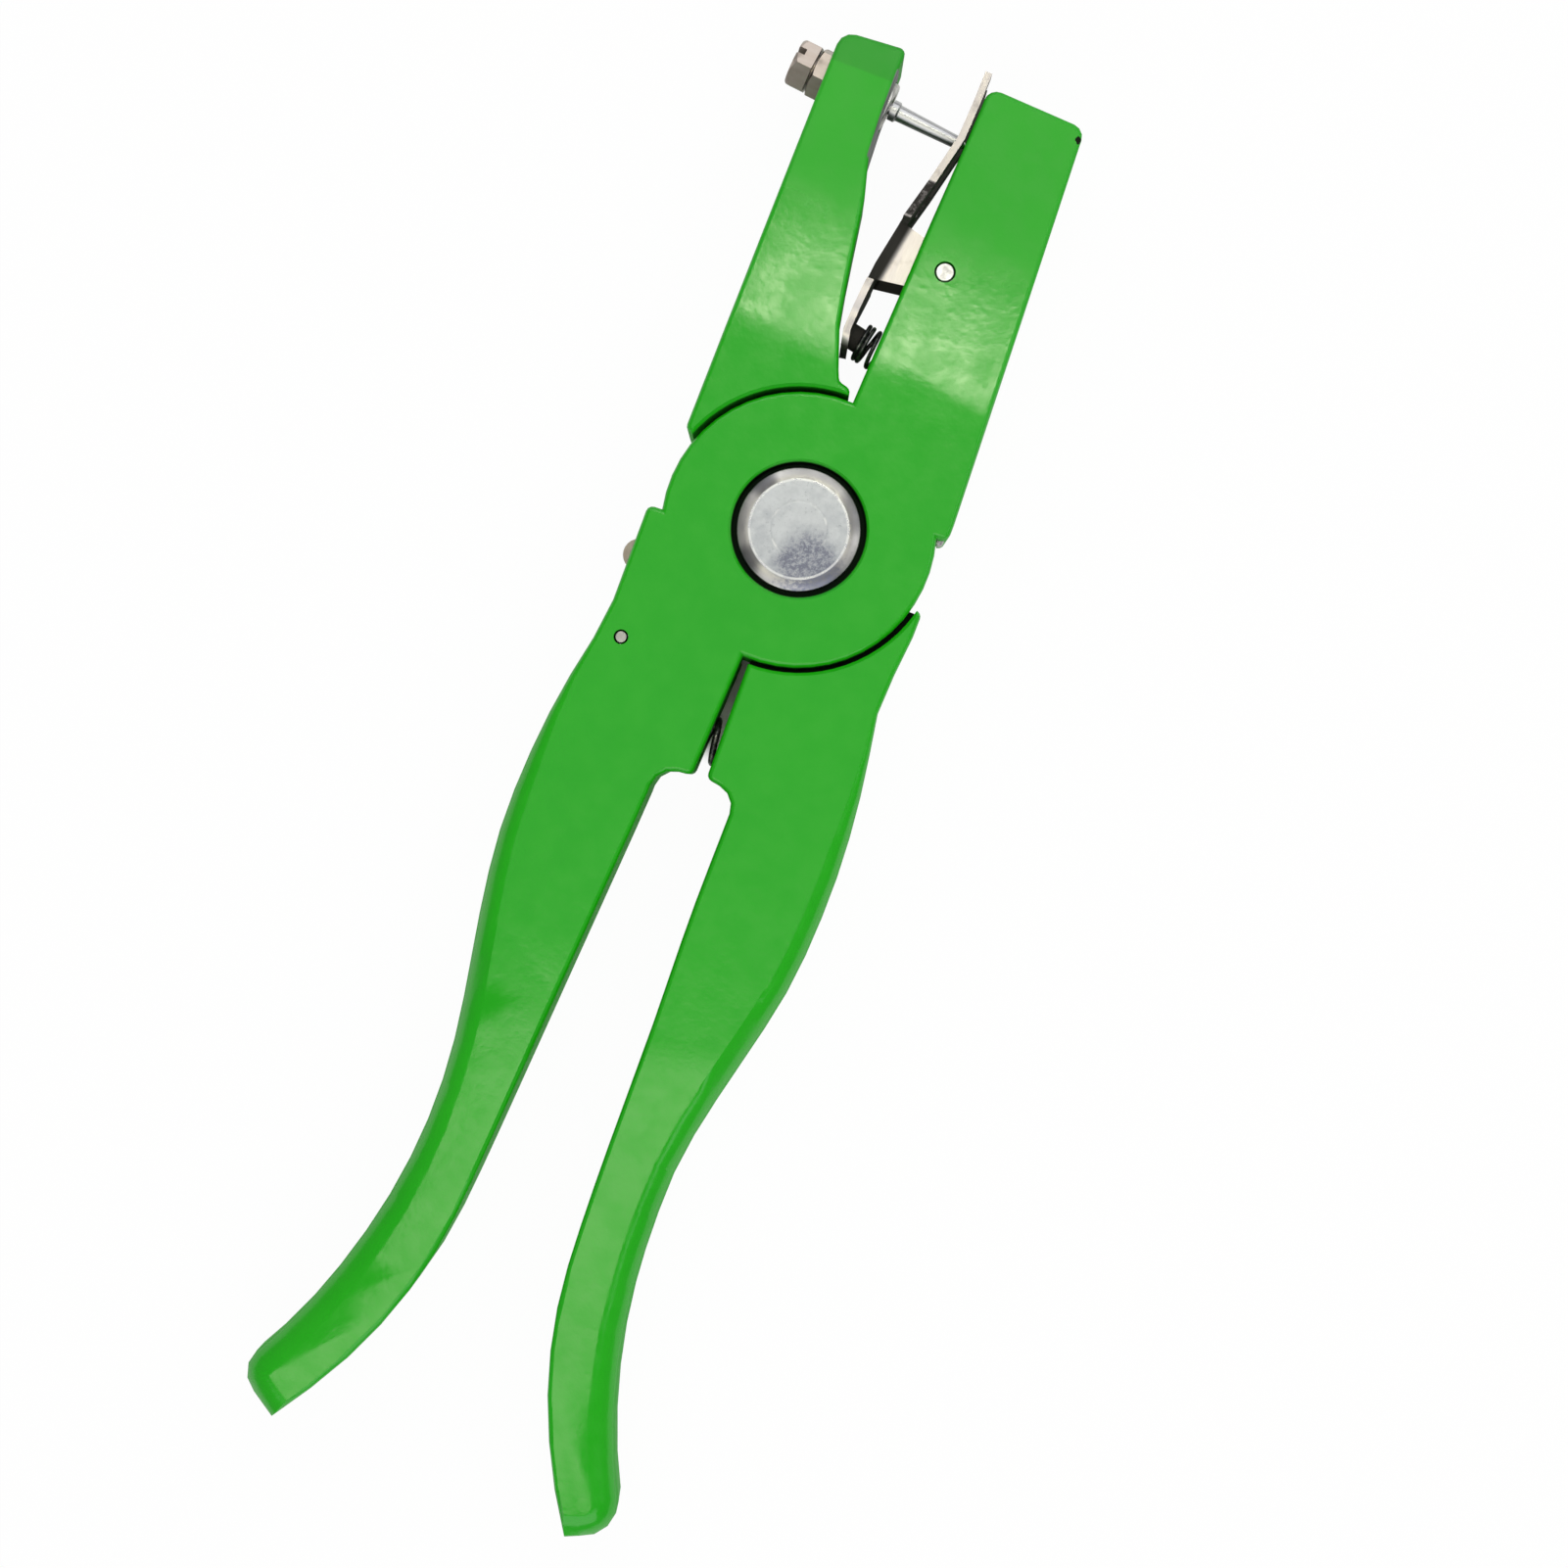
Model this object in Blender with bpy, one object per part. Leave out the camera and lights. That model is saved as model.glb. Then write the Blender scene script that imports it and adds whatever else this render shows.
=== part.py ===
"""Ear tag applicator: lap-jointed cast pliers that push a livestock tag's pin through the ear.

The tool lies flat. The origin is on the pivot's axis, in the plane of the underside. +Y runs to the jaws, +X to the
anvil jaw, and +Z up through the thickness. All sizes below are millimetres, and new_object turns them into metres.
The front lever is the anvil jaw, the front half of the pivot disc and the left handle. The rear lever is the pin jaw,
the rear half of the disc and the right handle.
"""

import bpy
import bmesh
from math import asin, atan2, ceil, cos, degrees, hypot, pi, radians, sin, sqrt, tan
from mathutils import Matrix, Vector

MM = 0.001

# Fits between pieces
FIT = 0.3
HOLE_FIT = 0.3

# Both levers at the pivot
THICKNESS = 22.0
DISC_RADIUS = 23.1
RIM_GAP = 0.9
LAP_GAP = 0.6
LAP_EDGE_CHAMFER = 0.5
EDGE_WIDTH = 0.8
CORNER_RADIUS = 1.15
BEVEL_STEEPNESS = 1.25
POCKET_RADIUS = DISC_RADIUS + RIM_GAP
MIDDLE = THICKNESS / 2
FRONT_DISC_BACK = MIDDLE + LAP_GAP / 2
REAR_DISC_FACE = MIDDLE - LAP_GAP / 2

# Thickness away from the pivot: ramps measured from the disc's rim
JAW_TIP_THICKNESS = 19.4
JAW_RAMP_START = 5.0
JAW_RAMP_LENGTH = 28.0
HANDLE_END_THICKNESS = 17.0
HANDLE_RAMP_START = 55.0
HANDLE_RAMP_LENGTH = 80.0
PIN_JAW_NOSE_LENGTH = 6.0
PIN_JAW_NOSE_THICKNESS = 17.6

# Handle bevel: its width on the outer edge at distances below the disc's rim
BEVEL_WIDTHS = ((8.0, 0.8), (27.0, 3.0), (47.0, 3.6), (90.0, 3.9), (125.0, 4.5), (145.0, 4.7))
END_BEVEL_WIDTH = 4.4

# Handle edges: distance below the disc's rim, distance from the centre line, slope
LEFT_SHOULDER_STEP = 1.9
LEFT_OUTER = (
    (-1.1, DISC_RADIUS + 1.7, 0.0),
    (8.9, DISC_RADIUS + 3.1, 0.21),
    (36.9, DISC_RADIUS + 6.0, 0.0),
    (72.0, DISC_RADIUS + 1.2, -0.165),
    (88.9, DISC_RADIUS - 0.25, 0.0),
    (114.9, DISC_RADIUS + 3.3, 0.27),
    (129.1, DISC_RADIUS + 8.1, 0.42),
    (136.9, DISC_RADIUS + 11.75, 0.5),
)
LEFT_INNER = (
    (26.9, 7.85, 0.04),
    (61.0, 9.85, 0.05),
    (96.9, 11.9, 0.065),
    (112.0, DISC_RADIUS - 9.6, 0.18),
    (126.9, DISC_RADIUS - 5.25, 0.38),
    (147.9, DISC_RADIUS + 6.4, 0.66),
)
LEFT_END_OUTER_CORNER = (DISC_RADIUS + 15.2, 143.1)
LEFT_END_CORNER_RADIUS = 5.0
RIGHT_OUTER = (
    (-13.1, DISC_RADIUS + 1.2, 0.0),
    (-1.1, DISC_RADIUS + 0.2, 0.0),
    (8.9, DISC_RADIUS + 1.7, 0.17),
    (32.9, DISC_RADIUS + 3.9, 0.0),
    (54.9, DISC_RADIUS + 2.05, -0.21),
    (62.9, DISC_RADIUS + 0.25, -0.225),
    (88.9, DISC_RADIUS - 4.05, 0.0),
    (114.9, DISC_RADIUS - 1.9, 0.2),
    (126.9, DISC_RADIUS + 1.3, 0.33),
    (135.9, DISC_RADIUS + 4.8, 0.45),
)
RIGHT_INNER = (
    (26.9, 6.2, 0.0),
    (46.9, 6.3, 0.03),
    (62.9, 6.85, 0.02),
    (98.9, 7.65, 0.045),
    (112.9, DISC_RADIUS - 14.25, 0.16),
    (126.9, DISC_RADIUS - 10.7, 0.35),
    (149.2, DISC_RADIUS + 0.7, 0.64),
)
RIGHT_END_OUTER_CORNER = (DISC_RADIUS + 10.1, 146.8)
RIGHT_END_CORNER_RADIUS = 6.0
HANDLE_EDGE_END = 134.5
SHOULDER_RUN = 4.4

# Finger gap between the handles
GAP_LEFT_TOP = 1.2
GAP_LEFT_BOTTOM = 2.0
GAP_RIGHT_TOP = 0.1
GAP_RIGHT_BOTTOM = 0.5
CROTCH_DISTANCE = 22.0
CROTCH_RADIUS = 3.8

# Jaw edges: distance above the disc's rim, distance from the centre line, slope
ANVIL_INNER = ((0.9, 0.9, 0.03), (26.9, 1.95, 0.03), (48.9, 3.0, 0.045), (56.0, 3.2, 0.0))
ANVIL_OUTER = ((-13.1, DISC_RADIUS + 0.9, -0.05), (6.9, DISC_RADIUS - 0.1, -0.035), (56.0, DISC_RADIUS - 2.3, -0.05))
ANVIL_TIP_INNER = 57.7
ANVIL_TIP_OUTER = 56.9
ANVIL_TIP_RADIUS = 2.2
HEEL_ANGLE = 17.5
HEEL_STEP = 0.9
ANVIL_HEEL_RUN = 3.05
PIN_HEEL_RUN = 2.6
JAW_EDGE_END = 54.0
THROAT_START = 2.0
PIN_OUTER = ((-15.0, DISC_RADIUS + 0.65, 0.0), (16.9, DISC_RADIUS + 0.5, 0.0), (57.0, DISC_RADIUS + 0.15, -0.01))
PIN_INNER = (
    (4.4, 3.4, 0.5),
    (8.9, 5.25, 0.28),
    (20.9, 7.7, 0.175),
    (33.9, 9.8, 0.19),
    (35.4, 10.15, 0.3),
    (38.9, 11.3, 0.29),
    (42.0, 11.8, 0.03),
    (57.0, 11.95, 0.0),
)
PIN_TIP_INNER = 58.8
PIN_TIP_OUTER = 57.9
PIN_TIP_RADIUS = 2.7
PIN_JAW_HEEL_ANGLE = 158.5
LIP_OVERHANG = 0.2
LIP_HEIGHT = 1.9
LIP_NECK = 2.6
LEFT_SHOULDER_ANGLE = 192.5
RIGHT_SHOULDER_ANGLE = -14.0
RIGHT_SHOULDER_STEP = 1.2

# Pivot rivet, its rear burr and the washer between the discs
PIVOT_SHANK_RADIUS = 6.5
PIVOT_HEAD_RADIUS = 10.4
PIVOT_HEAD_FLAT_RADIUS = 8.3
PIVOT_HEAD_THICKNESS = 3.1
PIVOT_HEAD_PROUD = 0.4
PIVOT_HEAD_CHAMFER = 1.1
COUNTERBORE_GAP = 0.9
BURR_RADIUS = 8.7
BURR_THICKNESS = 2.2
WASHER_RADIUS = 16.0
WASHER_THICKNESS = 1.0

# Main spring across the handle gap
MAIN_SPRING_DISTANCE = 14.95
MAIN_SPRING_Y = -(DISC_RADIUS + MAIN_SPRING_DISTANCE)
MAIN_SPRING_DIAMETER = 8.5
MAIN_SPRING_WIRE = 1.2
MAIN_SPRING_TURNS = 9
MAIN_SPRING_CLEARANCE = 0.5
SPRING_BORE_DEPTH = 13.0
SPRING_BORE_REACH = 6.0

# Anvil jaw's channel, clip axle and the clip
CHANNEL_WIDTH = 12.6
CHANNEL_FLOOR = 13.7
CHANNEL_START = 18.0
CHANNEL_CORNER_RADIUS = 2.0
AXLE_X = 7.4
AXLE_Y = DISC_RADIUS + 26.0
AXLE_RADIUS = 1.5
AXLE_RECESS = 0.3
CLIP_SHEET = 1.2
CLIP_WIDTH = 18.6
CLIP_TAIL_WIDTH = 15.0
CLIP_LINE = (
    (2.3, 59.9),
    (2.2, 54.5),
    (1.9, 48.0),
    (-0.1, 39.3),
    (-2.1, 31.7),
    (-3.6, 23.7),
    (-4.4, 15.5),
    (-4.6, 11.6),
    (-3.9, 8.2),
)
CLIP_SLOT_WIDTH = 8.0
CLIP_SLOT_START = 34.4
CLIP_WAIST = (20.6, 32.4)
CLIP_WAIST_RADIUS = 1.6
EAR_WIDTH_FIT = 0.4
EAR_RADIUS = 3.3
SPRING_NIB_RADIUS = 2.2
SPRING_NIB_HEIGHT = 1.0
SPRING_NIB_ROOT = 2.1

# Clip spring
CLIP_SPRING_DIAMETER = 6.9
CLIP_SPRING_WIRE = 0.75
CLIP_SPRING_TURNS = 5.5
CLIP_SPRING_TILT = 12.0
CLIP_SPRING_START = (-2.4, 11.4)
CLIP_SPRING_CLEARANCE = 0.45
CLIP_POCKET_DEPTH = 6.5

# Applicator pin group: places along its axis are distances back from the needle's tip
PIN_TIP_X = 3.1
PIN_TIP_DISTANCE = 48.7
PIN_TIP = (PIN_TIP_X, DISC_RADIUS + PIN_TIP_DISTANCE)
PIN_TILT = 5.6
NEEDLE_RADIUS = 1.42
NEEDLE_TIP_RADIUS = 1.12
NEEDLE_POINT = 1.6
COLLAR_RADIUS = 1.8
COLLAR_LENGTH = 1.1
TANG_RADIUS = 1.0
TANG_LENGTH = 4.2
BUSH_RADIUS = 4.3
BUSH_PROUD = 0.5
BUSH_DEPTH_SHARE = 0.55
SCREW_RADIUS = 2.5
HEX_WIDTH = 8.0
HEAD_LENGTH = 3.5
NUT_THICKNESS = 2.7
SLOT_WIDTH = 1.2
SLOT_DEPTH = 1.4
HEX_CHAMFER = 1.1
NUT_CHAMFER = 0.5
HEAD_TURN = 51.0
NUT_TURN = 40.0
SLOT_TURN = 22.0
HEX_FACE_SHARE = 0.93
SPOT_FACE_RADIUS = 5.4
SPOT_FACE_DEPTH = 0.5

# Latch in the left shoulder
LATCH_PIN_X = -(DISC_RADIUS - 1.8)
LATCH_PIN_Y = -(DISC_RADIUS + 4.3)
LATCH_PIN_RADIUS = 0.95
LATCH_EYE_RADIUS = 2.2
LATCH_THICKNESS = 4.0
LATCH_SLOT_FIT = 0.4
LATCH_FLOOR = 3.3
LATCH_TRAVEL = 11.0
LATCH_TAB_RADIUS = 2.78
LATCH_TAB_REACH = 14.9
NOSE_ANGLE = 211.2
NOSE_SPAN = 6.8
NOSE_DEPTH = 1.6
TOOTH_SPAN = 12.5
TOOTH_GAP = 1.3
CATCH_BEFORE = 20.0
CATCH_AFTER = 16.0
CATCH_FIT = 0.7
SLOT_WALL = 0.45
LATCH_SPRING_DIAMETER = 2.4
LATCH_SPRING_WIRE = 0.4
LATCH_SPRING_TURNS = 8
LATCH_SPRING_DISTANCE = 5.6
LATCH_SPRING_BORE_DEPTH = 5.5
LATCH_SPRING_CLEARANCE = 0.35

# Heel stop under the anvil jaw
STOP_RADIUS = 1.0
STOP_X = DISC_RADIUS - 0.6
STOP_Z = 16.5
STOP_PROUD = 1.2
STOP_LENGTH = 5.0

# Finishes: colour, metallic value and roughness
GREEN_POWDER_COAT = ((0.041, 0.392, 0.026), 0.0, 0.32)
ZINC_PLATE = ((0.52, 0.55, 0.60), 1.0, 0.42)
BRIGHT_STEEL = ((0.60, 0.58, 0.56), 1.0, 0.25)
NICKEL_PLATE = ((0.48, 0.43, 0.38), 1.0, 0.35)
BLACK_SPRING_STEEL = ((0.02, 0.02, 0.02), 0.8, 0.4)

# Facets
ROUND_STEPS = 72
BORE_STEPS = 28
COIL_STEPS = 14
WIRE_SIDES = 5
EDGE_SPACING = 7.0
ARC_STEP = 7.5
CORNER_STEP = 26.0


def clear_scene():
    for obj in list(bpy.data.objects):
        bpy.data.objects.remove(obj, do_unlink=True)


def material(name, finish):
    made = bpy.data.materials.new(name)
    made.use_nodes = True
    shader = made.node_tree.nodes["Principled BSDF"]
    colour, metallic, roughness = finish
    shader.inputs["Base Color"].default_value = (*colour, 1.0)
    shader.inputs["Metallic"].default_value = metallic
    shader.inputs["Roughness"].default_value = roughness
    made.diffuse_color = (*colour, 1.0)
    return made


def new_object(name, mesh_bm, finish=None, origin=(0.0, 0.0, 0.0), matrix=None, smooth=35.0):
    """Turns a millimetre bmesh into an object in metres. origin is where the object's own origin lies, and matrix
    places a mesh that was made along its own axis."""
    bmesh.ops.recalc_face_normals(mesh_bm, faces=mesh_bm.faces)
    if matrix is not None:
        bmesh.ops.transform(mesh_bm, matrix=matrix, verts=mesh_bm.verts)
    bmesh.ops.translate(mesh_bm, vec=-Vector(origin), verts=mesh_bm.verts)
    bmesh.ops.scale(mesh_bm, vec=(MM, MM, MM), verts=mesh_bm.verts)
    mesh = bpy.data.meshes.new(name)
    mesh_bm.to_mesh(mesh)
    mesh_bm.free()
    if smooth:
        mesh.shade_smooth()
        mesh.set_sharp_from_angle(angle=radians(smooth))
    obj = bpy.data.objects.new(name, mesh)
    obj.location = Vector(origin) * MM
    bpy.context.scene.collection.objects.link(obj)
    if finish:
        mesh.materials.append(material(name, finish))
    return obj


def helper(obj):
    """Marks an object as a cutter or a joined-on shape, which isn't a piece of the tool."""
    obj.hide_render = True
    obj.display_type = "WIRE"
    return obj


def boolean(obj, other, operation="DIFFERENCE"):
    modifier = obj.modifiers.new(other.name, "BOOLEAN")
    modifier.object = helper(other)
    modifier.operation = operation
    modifier.solver = "EXACT"


def turned(profile, steps):
    """A solid turned about Z from a closed outline of (radius, z) points. Points at radius 0 are shared poles."""
    made = bmesh.new()
    rings = []
    for radius, z in profile:
        if radius == 0:
            rings.append([made.verts.new((0, 0, z))] * steps)
        else:
            turn = (2 * pi * i / steps for i in range(steps))
            rings.append([made.verts.new((radius * cos(a), radius * sin(a), z)) for a in turn])
    for first, second in zip(rings, rings[1:] + rings[:1]):
        for i in range(steps):
            j = (i + 1) % steps
            corners = [first[i], first[j], second[j], second[i]]
            face = [v for k, v in enumerate(corners) if v not in corners[:k]]
            if len(face) > 2:
                made.faces.new(face)
    return made


def rod(radius, start, end, steps=BORE_STEPS):
    return turned([(0, end), (radius, end), (radius, start), (0, start)], steps)


def prism(outline, bottom, top):
    """A plate with the given (x, y) outline between two heights."""
    made = bmesh.new()
    low = [made.verts.new((x, y, bottom)) for x, y in outline]
    high = [made.verts.new((x, y, top)) for x, y in outline]
    made.faces.new(low[::-1])
    made.faces.new(high)
    for i in range(len(outline)):
        j = (i + 1) % len(outline)
        made.faces.new((low[i], low[j], high[j], high[i]))
    return made


def coil(diameter, wire, length, turns, tight_turns=0.0):
    """A round-wire compression spring along Z from 0 to length. The turns at each end lie close together."""
    made = bmesh.new()
    mean = (diameter - wire) / 2
    count = ceil(turns * COIL_STEPS)
    dead = tight_turns * (wire + 0.15)
    rings = []
    for i in range(count + 1):
        turn = turns * i / count
        if turn <= tight_turns:
            z = dead * turn / tight_turns if tight_turns else 0.0
        elif turn >= turns - tight_turns:
            z = length - wire - dead * (turns - turn) / tight_turns
        else:
            share = (turn - tight_turns) / (turns - 2 * tight_turns)
            z = dead + share * (length - wire - 2 * dead)
        angle = 2 * pi * turn
        centre = Vector((mean * cos(angle), mean * sin(angle), z + wire / 2))
        out = Vector((cos(angle), sin(angle), 0))
        ring = []
        for k in range(WIRE_SIDES):
            a = 2 * pi * k / WIRE_SIDES
            ring.append(made.verts.new(centre + wire / 2 * (cos(a) * out + sin(a) * Vector((0, 0, 1)))))
        rings.append(ring)
    for first, second in zip(rings, rings[1:]):
        for k in range(WIRE_SIDES):
            m = (k + 1) % WIRE_SIDES
            made.faces.new((first[k], first[m], second[m], second[k]))
    made.faces.new(rings[0])
    made.faces.new(rings[-1])
    return made


def along_x(x, y, z, tilt=0.0):
    """Stands a shape made along +Z so that it runs along +X from the point, turned down by tilt degrees."""
    return Matrix.Translation((x, y, z)) @ Matrix.Rotation(radians(-tilt), 4, "Z") @ Matrix.Rotation(pi / 2, 4, "Y")


def polar(radius, angle):
    return radius * cos(radians(angle)), radius * sin(radians(angle))


def arc(radius, first, last, step=ARC_STEP, centre=(0.0, 0.0)):
    count = max(2, round(abs(last - first) / step))
    made = []
    for i in range(count + 1):
        x, y = polar(radius, first + (last - first) * i / count)
        made.append((centre[0] + x, centre[1] + y))
    return made


def curve_at(nodes, distance):
    """The smooth edge's offset at a distance, from nodes of (distance, offset, slope)."""
    for (d0, v0, s0), (d1, v1, s1) in zip(nodes, nodes[1:]):
        if distance <= d1 or (d1, v1, s1) == nodes[-1]:
            span = d1 - d0
            t = (distance - d0) / span
            return (
                (2 * t**3 - 3 * t**2 + 1) * v0
                + (t**3 - 2 * t**2 + t) * span * s0
                + (3 * t**2 - 2 * t**3) * v1
                + (t**3 - t**2) * span * s1
            )


def edge(nodes, first, last, side, direction):
    """Points along one edge from a first to a last distance off the disc's rim. side is +1 on the right and -1 on the
    left; direction is +1 for a jaw and -1 for a handle."""
    count = max(2, round(abs(last - first) / EDGE_SPACING))
    made = []
    for i in range(count + 1):
        distance = first + (last - first) * i / count
        made.append((side * curve_at(nodes, distance), direction * (DISC_RADIUS + distance)))
    return made


def bevel_width(y):
    """Width of the handle's outer bevel at a height."""
    distance = -y - DISC_RADIUS
    if distance <= BEVEL_WIDTHS[0][0]:
        return BEVEL_WIDTHS[0][1]
    for (d0, w0), (d1, w1) in zip(BEVEL_WIDTHS, BEVEL_WIDTHS[1:]):
        if distance <= d1:
            return w0 + (w1 - w0) * (distance - d0) / (d1 - d0)
    return BEVEL_WIDTHS[-1][1]


def with_width(points, width):
    """Adds the width of the bevel on the edge that leaves each point."""
    return [(x, y, width(y) if callable(width) else width) for x, y in points]


def rounded(before, corner, after, radius, width, step=CORNER_STEP):
    """The arc that rounds a corner between two neighbours, with its bevel width."""
    corner, before, after = Vector(corner), Vector(before), Vector(after)
    back, ahead = (before - corner).normalized(), (after - corner).normalized()
    half = back.angle(ahead) / 2
    centre = corner + (back + ahead).normalized() * radius / sin(half)
    reach = radius / tan(half)
    start, end = corner + back * reach - centre, corner + ahead * reach - centre
    first = atan2(start.y, start.x)
    turn = (atan2(end.y, end.x) - first + pi) % (2 * pi) - pi
    count = max(2, round(abs(degrees(turn)) / step))
    points = []
    for i in range(count + 1):
        a = first + turn * i / count
        points.append((centre.x + radius * cos(a), centre.y + radius * sin(a)))
    return with_width(points, width)


def front_lever_outline():
    """Anvil jaw, disc and left handle, anticlockwise from the left shoulder, as (x, y, bevel width)."""
    shoulder = polar(DISC_RADIUS, LEFT_SHOULDER_ANGLE)
    shoulder_corner = (-DISC_RADIUS - LEFT_SHOULDER_STEP, shoulder[1] - 0.1)
    outer = edge(LEFT_OUTER, -1.1, HANDLE_EDGE_END, -1, -1)
    end_corner = (-LEFT_END_OUTER_CORNER[0], -DISC_RADIUS - LEFT_END_OUTER_CORNER[1])
    inner = edge(LEFT_INNER, LEFT_INNER[-1][0], LEFT_INNER[0][0], -1, -1)
    crotch_y = -DISC_RADIUS - CROTCH_DISTANCE
    crotch = (inner[-1][0], crotch_y - 0.3)
    gap_foot = (-GAP_LEFT_BOTTOM, crotch_y + 0.3)
    gap_top = (-GAP_LEFT_TOP, -sqrt(DISC_RADIUS**2 - GAP_LEFT_TOP**2))
    gap_angle = degrees(atan2(gap_top[1], gap_top[0]))
    heel = polar(DISC_RADIUS, HEEL_ANGLE)
    heel_corner = (DISC_RADIUS + HEEL_STEP, heel[1] + 0.2)
    jaw_out = edge(ANVIL_OUTER, heel[1] + ANVIL_HEEL_RUN - DISC_RADIUS, JAW_EDGE_END, 1, 1)
    jaw_in = edge(ANVIL_INNER, JAW_EDGE_END, THROAT_START, 1, 1)
    tip_outer = (ANVIL_OUTER[-1][1], DISC_RADIUS + ANVIL_TIP_OUTER)
    tip_inner = (ANVIL_INNER[-1][1], DISC_RADIUS + ANVIL_TIP_INNER)
    throat_x = ANVIL_INNER[0][1] - 0.05
    throat = (throat_x, sqrt(DISC_RADIUS**2 - throat_x**2))
    throat_angle = degrees(atan2(throat[1], throat[0]))
    points = rounded(shoulder, shoulder_corner, outer[0], CORNER_RADIUS, EDGE_WIDTH)
    points += with_width(outer, bevel_width)
    points += rounded(outer[-1], end_corner, inner[0], LEFT_END_CORNER_RADIUS, END_BEVEL_WIDTH)
    points += with_width(inner, EDGE_WIDTH)
    points += rounded(inner[-1], crotch, gap_foot, CROTCH_RADIUS, EDGE_WIDTH)
    points += rounded(crotch, gap_foot, gap_top, CORNER_RADIUS, EDGE_WIDTH)
    points += with_width(arc(DISC_RADIUS, gap_angle, HEEL_ANGLE), EDGE_WIDTH)
    points += rounded(heel, heel_corner, jaw_out[0], CORNER_RADIUS, EDGE_WIDTH)
    points += with_width(jaw_out, EDGE_WIDTH)
    points += rounded(jaw_out[-1], tip_outer, tip_inner, ANVIL_TIP_RADIUS, EDGE_WIDTH)
    points += rounded(tip_outer, tip_inner, jaw_in[0], ANVIL_TIP_RADIUS, EDGE_WIDTH)
    points += with_width(jaw_in, EDGE_WIDTH)
    points += with_width(arc(DISC_RADIUS, throat_angle, LEFT_SHOULDER_ANGLE), EDGE_WIDTH)
    return points


def rear_lever_outline():
    """Pin jaw, disc and right handle, anticlockwise from the pin jaw's heel, as (x, y, bevel width)."""
    heel = polar(DISC_RADIUS, PIN_JAW_HEEL_ANGLE)
    jaw_out = edge(PIN_OUTER, JAW_EDGE_END, heel[1] + PIN_HEEL_RUN - DISC_RADIUS, -1, 1)
    heel_corner = (jaw_out[-1][0], heel[1] + 0.4)
    gap_top = (GAP_RIGHT_TOP, -sqrt(DISC_RADIUS**2 - GAP_RIGHT_TOP**2))
    gap_angle = degrees(atan2(gap_top[1], gap_top[0])) + 360.0
    crotch_y = -DISC_RADIUS - CROTCH_DISTANCE
    gap_foot = (GAP_RIGHT_BOTTOM, crotch_y + 0.7)
    inner = edge(RIGHT_INNER, RIGHT_INNER[0][0], RIGHT_INNER[-1][0], 1, -1)
    crotch = (inner[0][0], crotch_y - 0.2)
    end_corner = (RIGHT_END_OUTER_CORNER[0], -DISC_RADIUS - RIGHT_END_OUTER_CORNER[1])
    shoulder = polar(DISC_RADIUS, RIGHT_SHOULDER_ANGLE)
    outer = edge(RIGHT_OUTER, HANDLE_EDGE_END, SHOULDER_RUN - shoulder[1] - DISC_RADIUS, 1, -1)
    shoulder_corner = (DISC_RADIUS + RIGHT_SHOULDER_STEP, shoulder[1] + 0.1)
    lip_top = DISC_RADIUS + LIP_HEIGHT
    neck = (-LIP_NECK, lip_top + 0.6)
    jaw_in = edge(PIN_INNER, PIN_INNER[0][0], JAW_EDGE_END, -1, 1)
    tip_inner = (-PIN_INNER[-1][1], DISC_RADIUS + PIN_TIP_INNER)
    tip_outer = (-PIN_OUTER[-1][1], DISC_RADIUS + PIN_TIP_OUTER)
    points = with_width(jaw_out, EDGE_WIDTH)
    points += rounded(jaw_out[-1], heel_corner, heel, CORNER_RADIUS, EDGE_WIDTH)
    points += with_width(arc(DISC_RADIUS, PIN_JAW_HEEL_ANGLE, gap_angle), EDGE_WIDTH)
    points += rounded(gap_top, gap_foot, crotch, CORNER_RADIUS, EDGE_WIDTH)
    points += rounded(gap_foot, crotch, inner[0], CROTCH_RADIUS, EDGE_WIDTH)
    points += with_width(inner[:-1], EDGE_WIDTH)
    points += with_width(inner[-1:], END_BEVEL_WIDTH)
    points += rounded(inner[-1], end_corner, outer[0], RIGHT_END_CORNER_RADIUS, END_BEVEL_WIDTH)
    points += with_width(outer, bevel_width)
    points += rounded(outer[-1], shoulder_corner, shoulder, CORNER_RADIUS, EDGE_WIDTH)
    lip_angle = 90.0 + degrees(asin(LIP_OVERHANG / DISC_RADIUS))
    lip = (-LIP_OVERHANG, lip_top)
    points += with_width(arc(DISC_RADIUS, RIGHT_SHOULDER_ANGLE, lip_angle), EDGE_WIDTH)
    points += rounded(polar(DISC_RADIUS, lip_angle), lip, neck, CORNER_RADIUS, EDGE_WIDTH)
    points += rounded(lip, neck, jaw_in[0], CORNER_RADIUS, EDGE_WIDTH)
    points += with_width(jaw_in, EDGE_WIDTH)
    points += rounded(jaw_in[-1], tip_inner, tip_outer, CORNER_RADIUS, EDGE_WIDTH)
    points += rounded(tip_inner, tip_outer, jaw_out[0], PIN_TIP_RADIUS, EDGE_WIDTH)
    return points


def handle_ramp(distance):
    """The handle's thickness, which changes smoothly over the ramp's length."""
    t = min(1.0, max(0.0, (distance - HANDLE_RAMP_START) / HANDLE_RAMP_LENGTH))
    return THICKNESS + (HANDLE_END_THICKNESS - THICKNESS) * t * t * (3 - 2 * t)


def jaw_ramp(distance):
    """The jaw's thickness, which falls from a crease and eases out towards the tip."""
    t = min(1.0, max(0.0, (distance - JAW_RAMP_START) / JAW_RAMP_LENGTH))
    return THICKNESS + (JAW_TIP_THICKNESS - THICKNESS) * t * (2 - t)


def lever_thickness(y, nose_start=None, nose_end=None):
    if y < 0:
        return handle_ramp(-y - DISC_RADIUS)
    plain = jaw_ramp(y - DISC_RADIUS)
    if nose_start is None or y <= nose_start:
        return plain
    return plain + (PIN_JAW_NOSE_THICKNESS - plain) * (y - nose_start) / (nose_end - nose_start)


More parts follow.
